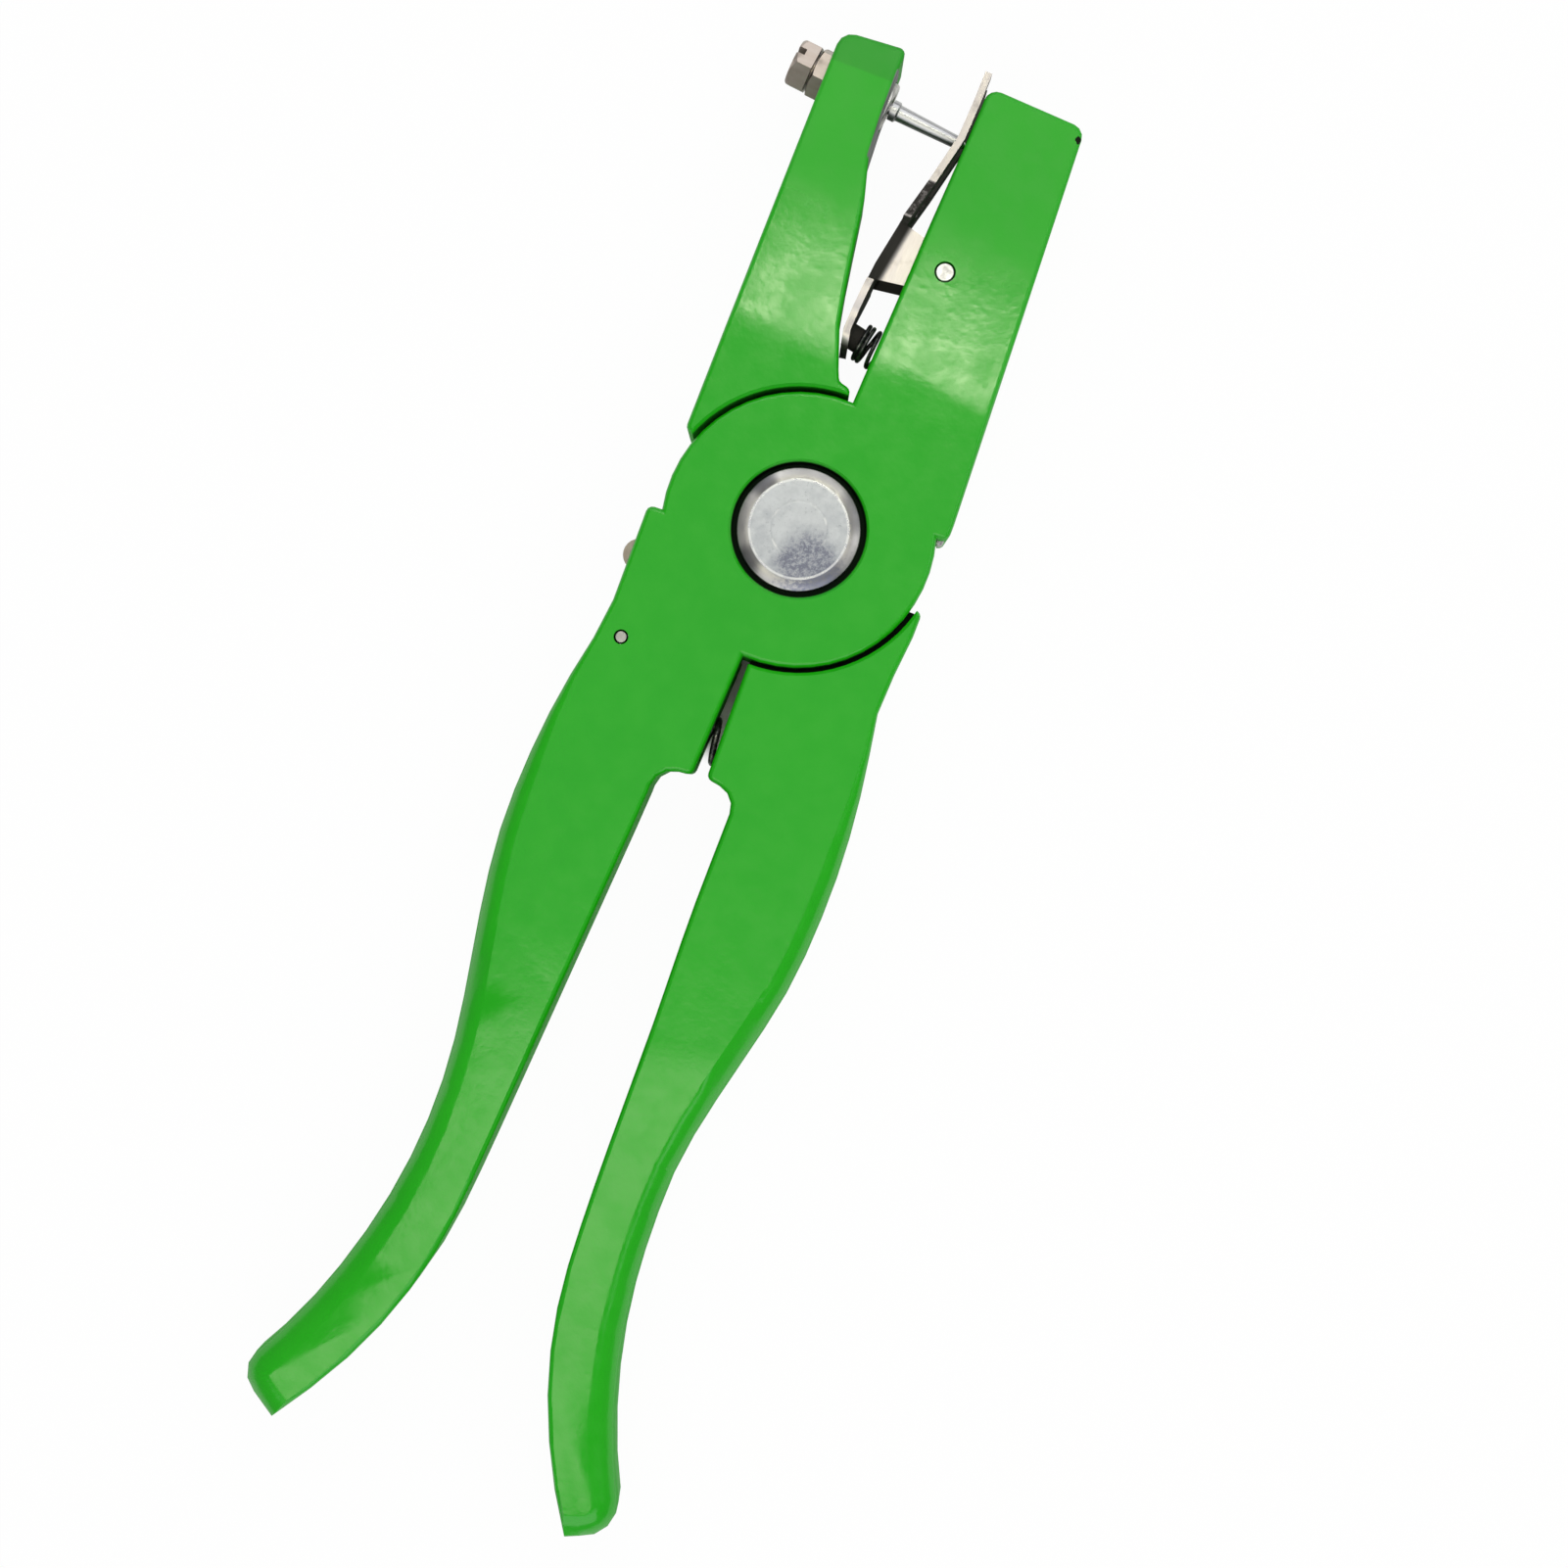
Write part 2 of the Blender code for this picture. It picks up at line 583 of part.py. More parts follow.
def inset_by(points, share):
    """Moves each outline point inward by a share of its bevel widths."""
    made = []
    for i, (x, y, width) in enumerate(points):
        px, py, before = points[i - 1]
        nx, ny, _ = points[(i + 1) % len(points)]
        back = Vector((x - px, y - py)).normalized()
        ahead = Vector((nx - x, ny - y)).normalized()
        n1, n2 = Vector((-back.y, back.x)), Vector((-ahead.y, ahead.x))
        w1, w2 = before * share, width * share
        cross = n1.x * n2.y - n1.y * n2.x
        if abs(cross) < 0.36:
            middle = (n1 + n2).normalized()
            move = middle * (w1 + w2) / 2 / middle.dot(n1)
        else:
            move = Vector(((w1 * n2.y - w2 * n1.y) / cross, (w2 * n1.x - w1 * n2.x) / cross))
        made.append((x + move.x, y + move.y))
    return made


def lever_blank(outline, stations, thickness_at):
    """A plate with the lever's outline, bevelled on both faces by each edge's own width, then thinned along its
    length. The bevel is three flats that turn from about 35 degrees at the crease to the upright side."""
    points = []
    for x, y, width in outline:
        if not points or hypot(x - points[-1][0], y - points[-1][1]) > 0.12:
            points.append((x, y, width))
    bevel = ((1.0, 0.0), (0.42, 0.30), (0.10, 0.68), (0.0, 1.0))
    levels = []
    for share, drop in bevel:
        ring = inset_by(points, share)
        heights = []
        for i, (_, _, width) in enumerate(points):
            wide = (width + points[i - 1][2]) / 2
            heights.append(MIDDLE - drop * BEVEL_STEEPNESS * wide)
        levels.append([(x, y, z) for (x, y), z in zip(ring, heights)])
    made = bmesh.new()
    rings = [[made.verts.new((x, y, z)) for x, y, z in level] for level in levels]
    rings += [[made.verts.new((x, y, -z)) for x, y, z in level] for level in reversed(levels)]
    for upper, lower in zip(rings, rings[1:]):
        for i in range(len(points)):
            j = (i + 1) % len(points)
            made.faces.new((upper[i], lower[i], lower[j], upper[j]))
    made.faces.new(rings[0])
    made.faces.new(rings[-1][::-1])
    for y in stations:
        everything = made.verts[:] + made.edges[:] + made.faces[:]
        bmesh.ops.bisect_plane(made, geom=everything, dist=0.001, plane_co=(0, y, 0), plane_no=(0, 1, 0))
    for vert in made.verts:
        vert.co.z = MIDDLE + vert.co.z * thickness_at(vert.co.y) / THICKNESS
    return made


def ramp_stations(start, length, direction, count):
    return [direction * (DISC_RADIUS + start + length * i / count) for i in range(count + 1)]


def make_front_lever():
    stations = ramp_stations(JAW_RAMP_START, JAW_RAMP_LENGTH, 1, 6)
    stations += ramp_stations(HANDLE_RAMP_START, HANDLE_RAMP_LENGTH, -1, 8)
    blank = lever_blank(front_lever_outline(), stations, lever_thickness)
    lever = new_object("front_lever", blank, GREEN_POWDER_COAT)
    seat = THICKNESS + PIVOT_HEAD_PROUD - PIVOT_HEAD_THICKNESS - FIT
    bore = PIVOT_SHANK_RADIUS + HOLE_FIT
    head_hole = PIVOT_HEAD_RADIUS + COUNTERBORE_GAP
    chamfer = LAP_EDGE_CHAMFER
    washer_hole = WASHER_RADIUS + HOLE_FIT
    washer_top = FRONT_DISC_BACK - FIT + WASHER_THICKNESS + FIT
    lap = turned(
        [
            (0, THICKNESS + 2),
            (head_hole + chamfer + 2, THICKNESS + 2),
            (head_hole, THICKNESS - chamfer),
            (head_hole, seat),
            (bore, seat),
            (bore, washer_top),
            (washer_hole, washer_top),
            (washer_hole, FRONT_DISC_BACK),
            (POCKET_RADIUS, FRONT_DISC_BACK),
            (POCKET_RADIUS, chamfer),
            (POCKET_RADIUS + chamfer + 2, -2),
            (0, -2),
        ],
        ROUND_STEPS,
    )
    boolean(lever, new_object("front_lap_cutter", lap))
    spring = rod(MAIN_SPRING_DIAMETER / 2 + MAIN_SPRING_CLEARANCE, 0, SPRING_BORE_DEPTH + SPRING_BORE_REACH)
    place = along_x(-GAP_LEFT_TOP - SPRING_BORE_DEPTH, MAIN_SPRING_Y, MIDDLE)
    boolean(lever, new_object("left_spring_bore", spring, matrix=place))
    channel_low = MIDDLE - CHANNEL_WIDTH / 2
    channel_high = MIDDLE + CHANNEL_WIDTH / 2
    channel_start = DISC_RADIUS + CHANNEL_START
    outline = rounded(
        (-4, channel_start), (CHANNEL_FLOOR, channel_start), (CHANNEL_FLOOR, AXLE_Y), CHANNEL_CORNER_RADIUS, 0
    )
    channel = [(-4, channel_start)] + [(x, y) for x, y, _ in outline]
    channel += [(CHANNEL_FLOOR, DISC_RADIUS + 70), (-4, DISC_RADIUS + 70)]
    boolean(lever, new_object("clip_channel", prism(channel, channel_low, channel_high)))
    axle = rod(AXLE_RADIUS + HOLE_FIT, -1, THICKNESS + 1)
    boolean(lever, new_object("axle_hole", axle, matrix=Matrix.Translation((AXLE_X, AXLE_Y, 0))))
    pocket = rod(CLIP_SPRING_DIAMETER / 2 + CLIP_SPRING_CLEARANCE, -5, clip_spring_length() + FIT)
    boolean(lever, new_object("clip_spring_pocket", pocket, matrix=clip_spring_place()))
    slot_low = LATCH_FLOOR - LATCH_SLOT_FIT
    slot_high = LATCH_FLOOR + LATCH_THICKNESS + LATCH_SLOT_FIT
    boolean(lever, new_object("latch_slot", prism(latch_slot_outline(), slot_low, slot_high)))
    hole = rod(LATCH_PIN_RADIUS + HOLE_FIT, -1, THICKNESS + 1, 16)
    boolean(lever, new_object("latch_pin_hole", hole, matrix=Matrix.Translation((LATCH_PIN_X, LATCH_PIN_Y, 0))))
    latch_bore = rod(LATCH_SPRING_DIAMETER / 2 + LATCH_SPRING_CLEARANCE, -1, LATCH_SPRING_BORE_DEPTH, 16)
    boolean(lever, new_object("latch_spring_bore", latch_bore, matrix=latch_spring_place(slot_inner_wall())))
    stop = rod(STOP_RADIUS + HOLE_FIT, -STOP_PROUD - FIT, STOP_LENGTH - STOP_PROUD + FIT, 16)
    boolean(lever, new_object("stop_hole", stop, matrix=stop_place(heel_y())))


def make_rear_lever():
    nose_end = DISC_RADIUS + PIN_TIP_INNER
    nose_start = nose_end - PIN_JAW_NOSE_LENGTH
    stations = ramp_stations(JAW_RAMP_START, JAW_RAMP_LENGTH, 1, 6) + [nose_start]
    stations += ramp_stations(HANDLE_RAMP_START, HANDLE_RAMP_LENGTH, -1, 8)
    blank = lever_blank(rear_lever_outline(), stations, lambda y: lever_thickness(y, nose_start, nose_end))
    lever = new_object("rear_lever", blank, GREEN_POWDER_COAT)
    bore = PIVOT_SHANK_RADIUS + HOLE_FIT
    burr_hole = BURR_RADIUS + HOLE_FIT
    chamfer = LAP_EDGE_CHAMFER
    lap = turned(
        [
            (0, THICKNESS + 2),
            (POCKET_RADIUS + chamfer + 2, THICKNESS + 2),
            (POCKET_RADIUS, THICKNESS - chamfer),
            (POCKET_RADIUS, REAR_DISC_FACE),
            (bore, REAR_DISC_FACE),
            (bore, BURR_THICKNESS + FIT),
            (burr_hole, BURR_THICKNESS + FIT),
            (burr_hole, chamfer),
            (burr_hole + chamfer + 2, -2),
            (0, -2),
        ],
        ROUND_STEPS,
    )
    boolean(lever, new_object("rear_lap_cutter", lap))
    spring = rod(MAIN_SPRING_DIAMETER / 2 + MAIN_SPRING_CLEARANCE, -SPRING_BORE_REACH, SPRING_BORE_DEPTH)
    boolean(lever, new_object("right_spring_bore", spring, matrix=along_x(GAP_RIGHT_TOP, MAIN_SPRING_Y, MIDDLE)))
    catch_low = LATCH_FLOOR - CATCH_FIT
    catch_high = LATCH_FLOOR + LATCH_THICKNESS + CATCH_FIT
    floor = DISC_RADIUS - NOSE_DEPTH - CATCH_FIT
    outside = DISC_RADIUS + 3
    tooth_start = NOSE_ANGLE - TOOTH_SPAN
    before = arc(floor, tooth_start - CATCH_BEFORE, tooth_start)
    before += arc(outside, tooth_start, tooth_start - CATCH_BEFORE)
    boolean(lever, new_object("catch_before", prism(before, catch_low, catch_high)))
    after_end = NOSE_ANGLE + CATCH_AFTER
    after = arc(floor, tooth_flank(floor), after_end) + arc(outside, after_end, tooth_flank(outside))
    boolean(lever, new_object("catch_after", prism(after, catch_low, catch_high)))
    bush_hole = BUSH_RADIUS + HOLE_FIT
    bush_end = bush_back_place() + FIT
    screw_hole = SCREW_RADIUS + HOLE_FIT
    nut_face = jaw_outer_place() - SPOT_FACE_DEPTH
    through = turned(
        [
            (0, nut_face + 6),
            (SPOT_FACE_RADIUS, nut_face + 6),
            (SPOT_FACE_RADIUS, nut_face),
            (screw_hole, nut_face),
            (screw_hole, bush_end),
            (bush_hole, bush_end),
            (bush_hole, jaw_inner_place() - 4),
            (0, jaw_inner_place() - 4),
        ],
        BORE_STEPS,
    )
    boolean(lever, new_object("pin_hole", through, matrix=pin_place()))
    return lever


def heel_y():
    return polar(DISC_RADIUS, HEEL_ANGLE)[1] + 0.2


def stop_place(y):
    """Along +Y from the anvil jaw's heel."""
    return Matrix.Translation((STOP_X, y, STOP_Z)) @ Matrix.Rotation(-pi / 2, 4, "X")


def pin_place():
    """The pin's axis: +Z of the turned shapes runs back from the needle's tip, through the pin jaw."""
    tilt = Matrix.Rotation(radians(180 - PIN_TILT), 4, "Z")
    return Matrix.Translation((*PIN_TIP, MIDDLE)) @ tilt @ Matrix.Rotation(pi / 2, 4, "Y")


def place_at_x(x):
    """Distance back along the pin's axis to a plane of constant x."""
    return (PIN_TIP[0] - x) / cos(radians(PIN_TILT))


def jaw_inner_place():
    return place_at_x(-PIN_INNER[-1][1])


def jaw_outer_place():
    return place_at_x(-PIN_OUTER[-1][1])


def bush_back_place():
    return jaw_inner_place() + BUSH_DEPTH_SHARE * (jaw_outer_place() - jaw_inner_place())


def hexagon(width, turn):
    radius = width / 2 / cos(pi / 6)
    return [polar(radius, turn + 60 * i) for i in range(6)]


def turned_hexagon(width, turn, start, end, chamfer):
    """A hexagon prism whose corners are cut by a cone at its far end, as on a nut or a bolt head."""
    made = prism(hexagon(width, turn), start, end)
    return made, [
        (0, end + 0.01),
        (width / 2 * HEX_FACE_SHARE, end + 0.01),
        (width / 2 / cos(pi / 6) + 0.2, end - chamfer),
        (width / 2 / cos(pi / 6) + 0.2, start - 0.01),
        (0, start - 0.01),
    ]


def make_pin_group():
    place = pin_place()
    bush_front = jaw_inner_place() - BUSH_PROUD
    collar_back = bush_front - FIT
    collar_front = collar_back - COLLAR_LENGTH
    tang_end = collar_back + TANG_LENGTH
    needle = turned(
        [
            (0, tang_end),
            (TANG_RADIUS, tang_end),
            (TANG_RADIUS, collar_back),
            (COLLAR_RADIUS, collar_back),
            (COLLAR_RADIUS, collar_front),
            (NEEDLE_RADIUS, collar_front - 0.3),
            (NEEDLE_TIP_RADIUS, NEEDLE_POINT),
            (NEEDLE_TIP_RADIUS * 0.45, 0.35),
            (0, 0),
        ],
        24,
    )
    pin = new_object("applicator_pin", needle, BRIGHT_STEEL, matrix=place)
    bush_back = bush_back_place()
    bush_bore = SCREW_RADIUS + HOLE_FIT
    bush = turned(
        [
            (BUSH_RADIUS, bush_back),
            (BUSH_RADIUS, bush_front + 0.3),
            (BUSH_RADIUS - 0.3, bush_front),
            (bush_bore, bush_front),
            (bush_bore, bush_back),
        ],
        BORE_STEPS,
    )
    bush = new_object("pin_bush", bush, BRIGHT_STEEL, matrix=place)
    nut_start = jaw_outer_place() - SPOT_FACE_DEPTH + FIT
    nut_end = nut_start + NUT_THICKNESS
    made, cone = turned_hexagon(HEX_WIDTH, NUT_TURN, nut_start, nut_end, NUT_CHAMFER)
    nut = new_object("pin_lock_nut", made, NICKEL_PLATE, matrix=place, smooth=None)
    boolean(nut, new_object("nut_cone", turned(cone, 48), matrix=place), "INTERSECT")
    boolean(nut, new_object("nut_bore", rod(bush_bore, nut_start - 1, nut_end + 1), matrix=place))
    head_start = nut_end + FIT
    head_end = head_start + HEAD_LENGTH
    made, cone = turned_hexagon(HEX_WIDTH, HEAD_TURN, head_start, head_end, HEX_CHAMFER)
    screw = new_object("pin_screw", made, NICKEL_PLATE, matrix=place, smooth=None)
    boolean(screw, new_object("head_cone", turned(cone, 48), matrix=place), "INTERSECT")
    shank_end = bush_front + FIT
    boolean(screw, new_object("screw_shank", rod(SCREW_RADIUS, shank_end, head_start + 0.5), matrix=place), "UNION")
    slot = [(-8, -SLOT_WIDTH / 2), (8, -SLOT_WIDTH / 2), (8, SLOT_WIDTH / 2), (-8, SLOT_WIDTH / 2)]
    slot = prism(slot, head_end - SLOT_DEPTH, head_end + 1)
    turn = Matrix.Rotation(radians(SLOT_TURN), 4, "Z")
    boolean(screw, new_object("driver_slot", slot, matrix=place @ turn))
    socket = rod(TANG_RADIUS + HOLE_FIT, shank_end - 1, tang_end + FIT, 16)
    boolean(screw, new_object("tang_bore", socket, matrix=place))
    return pin, bush, nut, screw


def clip_points():
    return [(x, DISC_RADIUS + d) for x, d in CLIP_LINE]


def clip_spring_place():
    """The spring's axis, from the clip's tail towards the anvil jaw."""
    x, distance = CLIP_SPRING_START
    return along_x(x, DISC_RADIUS + distance, MIDDLE, CLIP_SPRING_TILT)


def clip_spring_length():
    """From the spring's start by the tail to the floor of the pocket in the jaw."""
    x, distance = CLIP_SPRING_START
    to_face = (curve_at(ANVIL_INNER, distance) - x) / cos(radians(CLIP_SPRING_TILT))
    return to_face + CLIP_POCKET_DEPTH


def line_at(points, distance):
    """Where a bent line of (x, distance) points lies at a distance."""
    for (x0, d0), (x1, d1) in zip(points, points[1:]):
        if min(d0, d1) <= distance <= max(d0, d1):
            return x0 + (x1 - x0) * (distance - d0) / (d1 - d0)


def thick_line(points, thickness):
    """The outline of a sheet of even thickness that follows a bent line."""
    left, right = [], []
    for i, (x, y) in enumerate(points):
        before = Vector(points[max(i - 1, 0)])
        after = Vector(points[min(i + 1, len(points) - 1)])
        here = Vector((x, y))
        back = (here - before).normalized() if i else (after - here).normalized()
        ahead = (after - here).normalized() if i < len(points) - 1 else back
        middle = (back + ahead).normalized()
        normal = Vector((-middle.y, middle.x)) * thickness / 2 / middle.dot(back)
        left.append(tuple(here + normal))
        right.append(tuple(here - normal))
    return left + right[::-1]


def side_prism(outline, x0, x1):
    """A plate with the given (y, z) outline between two x planes."""
    made = prism([(y, z) for y, z in outline], x0, x1)
    for vert in made.verts:
        y, z, x = vert.co
        vert.co = (x, y, z)
    return made


def make_clip():
    pivot = (AXLE_X, AXLE_Y, MIDDLE)
    half = CLIP_WIDTH / 2
    sheet = prism(thick_line(clip_points(), CLIP_SHEET), MIDDLE - half, MIDDLE + half)
    clip = new_object("clip_plate", sheet, NICKEL_PLATE, origin=pivot, smooth=20.0)
    slot_start = DISC_RADIUS + CLIP_SLOT_START
    slot_half = CLIP_SLOT_WIDTH / 2
    top = DISC_RADIUS + CLIP_LINE[0][1] + 3
    slot = [(top, -slot_half), (top, slot_half)]
    slot += [(slot_start + slot_half + x, y) for x, y in arc(slot_half, 90.0, 270.0, 22.5)]
    slot = [(y, MIDDLE + z) for y, z in slot]
    boolean(clip, new_object("clip_slot", side_prism(slot, -20, 12)))
    waist_low, waist_high = (DISC_RADIUS + d for d in CLIP_WAIST)
    ear_half = CHANNEL_WIDTH / 2 - EAR_WIDTH_FIT
    for name, side in (("waist_front", 1), ("waist_back", -1)):
        notch = [(waist_low, half + 3), (waist_low, ear_half), (waist_high, ear_half), (waist_high, half + 3)]
        first = rounded(notch[0], notch[1], notch[2], CLIP_WAIST_RADIUS, 0)
        second = rounded(notch[1], notch[2], notch[3], CLIP_WAIST_RADIUS, 0)
        shape = [notch[0]] + [(x, y) for x, y, _ in first + second] + [notch[3]]
        shape = [(y, MIDDLE + side * z) for y, z in shape]
        boolean(clip, new_object(name, side_prism(shape, -20, 12)))
    tail_end = DISC_RADIUS + CLIP_LINE[-1][1]
    tail_half = CLIP_TAIL_WIDTH / 2
    for name, side in (("tail_front", 1), ("tail_back", -1)):
        trim = [(waist_low - 2, half + 3), (waist_low - 2, half), (tail_end + 6, tail_half), (tail_end + 2.5, tail_half)]
        trim += [(tail_end + 0.7, tail_half - 1.0), (tail_end - 1, tail_half - 4.0), (tail_end - 3, half + 3)]
        trim = [(y, MIDDLE + side * z) for y, z in trim]
        boolean(clip, new_object(name, side_prism(trim, -20, 12)))
    for name, low in (("ear_front", MIDDLE + ear_half - CLIP_SHEET), ("ear_back", MIDDLE - ear_half)):
        boolean(clip, new_object(name, prism(ear_outline(), low, low + CLIP_SHEET)), "UNION")
    nib = rod(SPRING_NIB_RADIUS, -SPRING_NIB_ROOT, SPRING_NIB_HEIGHT, 20)
    boolean(clip, new_object("spring_nib", nib, matrix=clip_spring_place()), "UNION")
    hole = rod(AXLE_RADIUS + HOLE_FIT, -1, THICKNESS + 1, 24)
    boolean(clip, new_object("ear_hole", hole, matrix=Matrix.Translation((AXLE_X, AXLE_Y, 0))))
    return clip


def ear_outline():
    """One folded ear: wide where it leaves the sheet, round about the axle."""
    low, high = CLIP_WAIST[0] + 0.6, CLIP_WAIST[1] - 0.6
    root = [(line_at(CLIP_LINE, d), DISC_RADIUS + d) for d in (high, (low + high) / 2, low)]
    return arc(EAR_RADIUS, -70.0, 70.0, 20.0, (AXLE_X, AXLE_Y)) + root


def turn_about(point, centre, angle):
    x, y = point[0] - centre[0], point[1] - centre[1]
    c, s = cos(radians(angle)), sin(radians(angle))
    return centre[0] + x * c - y * s, centre[1] + x * s + y * c


def tooth_flank(radius):
    """Angle of the catch tooth's flank at a radius. It follows the path of the nose's tip, so the nose can swing in
    past it and the disc can't push the nose out again."""
    tip = polar(DISC_RADIUS - NOSE_DEPTH, NOSE_ANGLE)
    out = turn_about(tip, (LATCH_PIN_X, LATCH_PIN_Y), LATCH_TRAVEL)
    out_angle = degrees(atan2(out[1], out[0])) % 360
    slope = (out_angle - NOSE_ANGLE) / (hypot(*out) - hypot(*tip))
    return NOSE_ANGLE + slope * (radius - hypot(*tip)) - TOOTH_GAP


def latch_outline():
    """The latch as it lies when engaged, anticlockwise from the nose's tip."""
    pin = (LATCH_PIN_X, LATCH_PIN_Y)
    tip = polar(DISC_RADIUS - NOSE_DEPTH, NOSE_ANGLE)
    tab = latch_tab()
    nose_low = NOSE_ANGLE + NOSE_SPAN
    root = polar(POCKET_RADIUS, nose_low)
    points = [polar(DISC_RADIUS - NOSE_DEPTH, nose_low), tip, turn_about(tip, pin, LATCH_TRAVEL)]
    points += arc(LATCH_TAB_RADIUS, 100.0, 235.0, 15.0, tab)
    points += [(tab[0] - 1.1, tab[1] - 5.0)]
    points += arc(LATCH_EYE_RADIUS, 170.0, 370.0, 20.0, pin)
    points += [(root[0] - 0.6, root[1] - 2.0), root]
    return points


def latch_tab():
    """Centre of the thumb tab when the latch is engaged."""
    return LATCH_PIN_X - 0.2, LATCH_PIN_Y + LATCH_TAB_REACH


def slot_inner_wall():
    return LATCH_PIN_X + LATCH_EYE_RADIUS + SLOT_WALL + 0.25


def latch_slot_outline():
    """The slot that the latch swings in: open to the outer side and to the disc's pocket."""
    pin = (LATCH_PIN_X, LATCH_PIN_Y)
    wall = slot_inner_wall()
    top = latch_tab()[1] + LATCH_TAB_RADIUS + SLOT_WALL
    root = polar(POCKET_RADIUS, NOSE_ANGLE + NOSE_SPAN)
    low = root[1] - 3.6
    outside = -DISC_RADIUS - 9.0
    eye = arc(LATCH_EYE_RADIUS + SLOT_WALL, 180.0, 360.0, 20.0, pin)
    points = [(outside, top), (outside, LATCH_PIN_Y + 7.0), (eye[0][0] - 0.3, LATCH_PIN_Y + 4.0)]
    points += eye + [(wall, LATCH_PIN_Y + 1.0), (wall, low), (wall + 5.0, low), (wall + 5.0, top)]
    return points


def latch_spring_place(x):
    return along_x(x, LATCH_PIN_Y + LATCH_SPRING_DISTANCE, LATCH_FLOOR + LATCH_THICKNESS / 2)


def make_latch():
    pin = (LATCH_PIN_X, LATCH_PIN_Y)
    released = [turn_about(p, pin, LATCH_TRAVEL) for p in latch_outline()]
    plate = prism(released, LATCH_FLOOR, LATCH_FLOOR + LATCH_THICKNESS)
    latch = new_object("latch", plate, BRIGHT_STEEL, origin=(*pin, LATCH_FLOOR))
    hole = rod(LATCH_PIN_RADIUS + HOLE_FIT, -1, THICKNESS, 20)
    boolean(latch, new_object("latch_eye", hole, matrix=Matrix.Translation((*pin, 0))))
    shaft = rod(LATCH_PIN_RADIUS, 0.4, THICKNESS - 0.3, 20)
    new_object("latch_pin", shaft, BRIGHT_STEEL, matrix=Matrix.Translation((*pin, 0)))
    side = min(x for x, y in spring_side_points(released)) + FIT
    far = slot_inner_wall() + LATCH_SPRING_BORE_DEPTH - FIT
    spring = coil(LATCH_SPRING_DIAMETER, LATCH_SPRING_WIRE, far - side, LATCH_SPRING_TURNS, 0.75)
    new_object("latch_spring", spring, BLACK_SPRING_STEEL, matrix=latch_spring_place(side))
    return latch


def spring_side_points(released):
    """Where the latch's inner side crosses the spring's band, as (x, y)."""
    y = LATCH_PIN_Y + LATCH_SPRING_DISTANCE
    crossings = []
    for (x0, y0), (x1, y1) in zip(released, released[1:] + released[:1]):
        if min(y0, y1) <= y + LATCH_SPRING_DIAMETER / 2 and max(y0, y1) >= y - LATCH_SPRING_DIAMETER / 2 and y0 != y1:
            at = min(max(y, min(y0, y1)), max(y0, y1))
            crossings.append((x0 + (x1 - x0) * (at - y0) / (y1 - y0), at))
    inner = max(x for x, _ in crossings)
    return [(x, at) for x, at in crossings if x > inner - 1.0]


def make_pivot():
    top = THICKNESS + PIVOT_HEAD_PROUD
    under = top - PIVOT_HEAD_THICKNESS
    rivet = turned(
        [
            (0, top),
            (PIVOT_HEAD_FLAT_RADIUS, top),
            (PIVOT_HEAD_RADIUS, top - PIVOT_HEAD_CHAMFER),
            (PIVOT_HEAD_RADIUS, under),
            (PIVOT_SHANK_RADIUS, under),
            (PIVOT_SHANK_RADIUS, 0),
            (0, 0),
        ],
        ROUND_STEPS,
    )
    new_object("pivot_rivet", rivet, ZINC_PLATE)
    hole = PIVOT_SHANK_RADIUS + HOLE_FIT
    burr = turned(
        [(BURR_RADIUS, BURR_THICKNESS), (BURR_RADIUS, 0.3), (BURR_RADIUS - 0.3, 0), (hole, 0), (hole, BURR_THICKNESS)],
        48,
    )
    new_object("pivot_burr", burr, ZINC_PLATE)
    low = FRONT_DISC_BACK - FIT
    high = low + WASHER_THICKNESS
    washer = turned([(WASHER_RADIUS, high), (WASHER_RADIUS, low), (hole, low), (hole, high)], 48)
    new_object("thrust_washer", washer, BRIGHT_STEEL)


def make_main_spring():
    start = -GAP_LEFT_TOP - SPRING_BORE_DEPTH + FIT
    length = GAP_RIGHT_TOP + SPRING_BORE_DEPTH - FIT - start
    spring = coil(MAIN_SPRING_DIAMETER, MAIN_SPRING_WIRE, length, MAIN_SPRING_TURNS, 1.0)
    new_object("main_spring", spring, BLACK_SPRING_STEEL, matrix=along_x(start, MAIN_SPRING_Y, MIDDLE))


def make_clip_hardware():
    thickness = lever_thickness(AXLE_Y)
    low = MIDDLE - thickness / 2 + AXLE_RECESS
    high = MIDDLE + thickness / 2 - AXLE_RECESS
    place = Matrix.Translation((AXLE_X, AXLE_Y, 0))
    new_object("clip_axle", rod(AXLE_RADIUS, low, high, 24), BRIGHT_STEEL, matrix=place)
    spring = coil(CLIP_SPRING_DIAMETER, CLIP_SPRING_WIRE, clip_spring_length(), CLIP_SPRING_TURNS, 1.5)
    new_object("clip_spring", spring, BLACK_SPRING_STEEL, matrix=clip_spring_place())


def make_heel_stop():
    stop = turned(
        [
            (0, STOP_LENGTH - STOP_PROUD),
            (STOP_RADIUS, STOP_LENGTH - STOP_PROUD),
            (STOP_RADIUS, -STOP_PROUD + 0.5),
            (STOP_RADIUS * 0.6, -STOP_PROUD + 0.1),
            (0, -STOP_PROUD),
        ],
        20,
    )
    new_object("heel_stop", stop, BRIGHT_STEEL, matrix=stop_place(heel_y()))


def axis_empty(name, x, y):
    empty = bpy.data.objects.new(name, None)
    empty.location = (x * MM, y * MM, MIDDLE * MM)
    empty.empty_display_size = 0.01
    bpy.context.scene.collection.objects.link(empty)
    return empty


def carry(parent, *pieces):
    """Parents pieces to a joint's empty and leaves them where they are."""
    bpy.context.view_layer.update()
    for piece in pieces:
        piece.parent = parent
        piece.matrix_parent_inverse = parent.matrix_world.inverted()


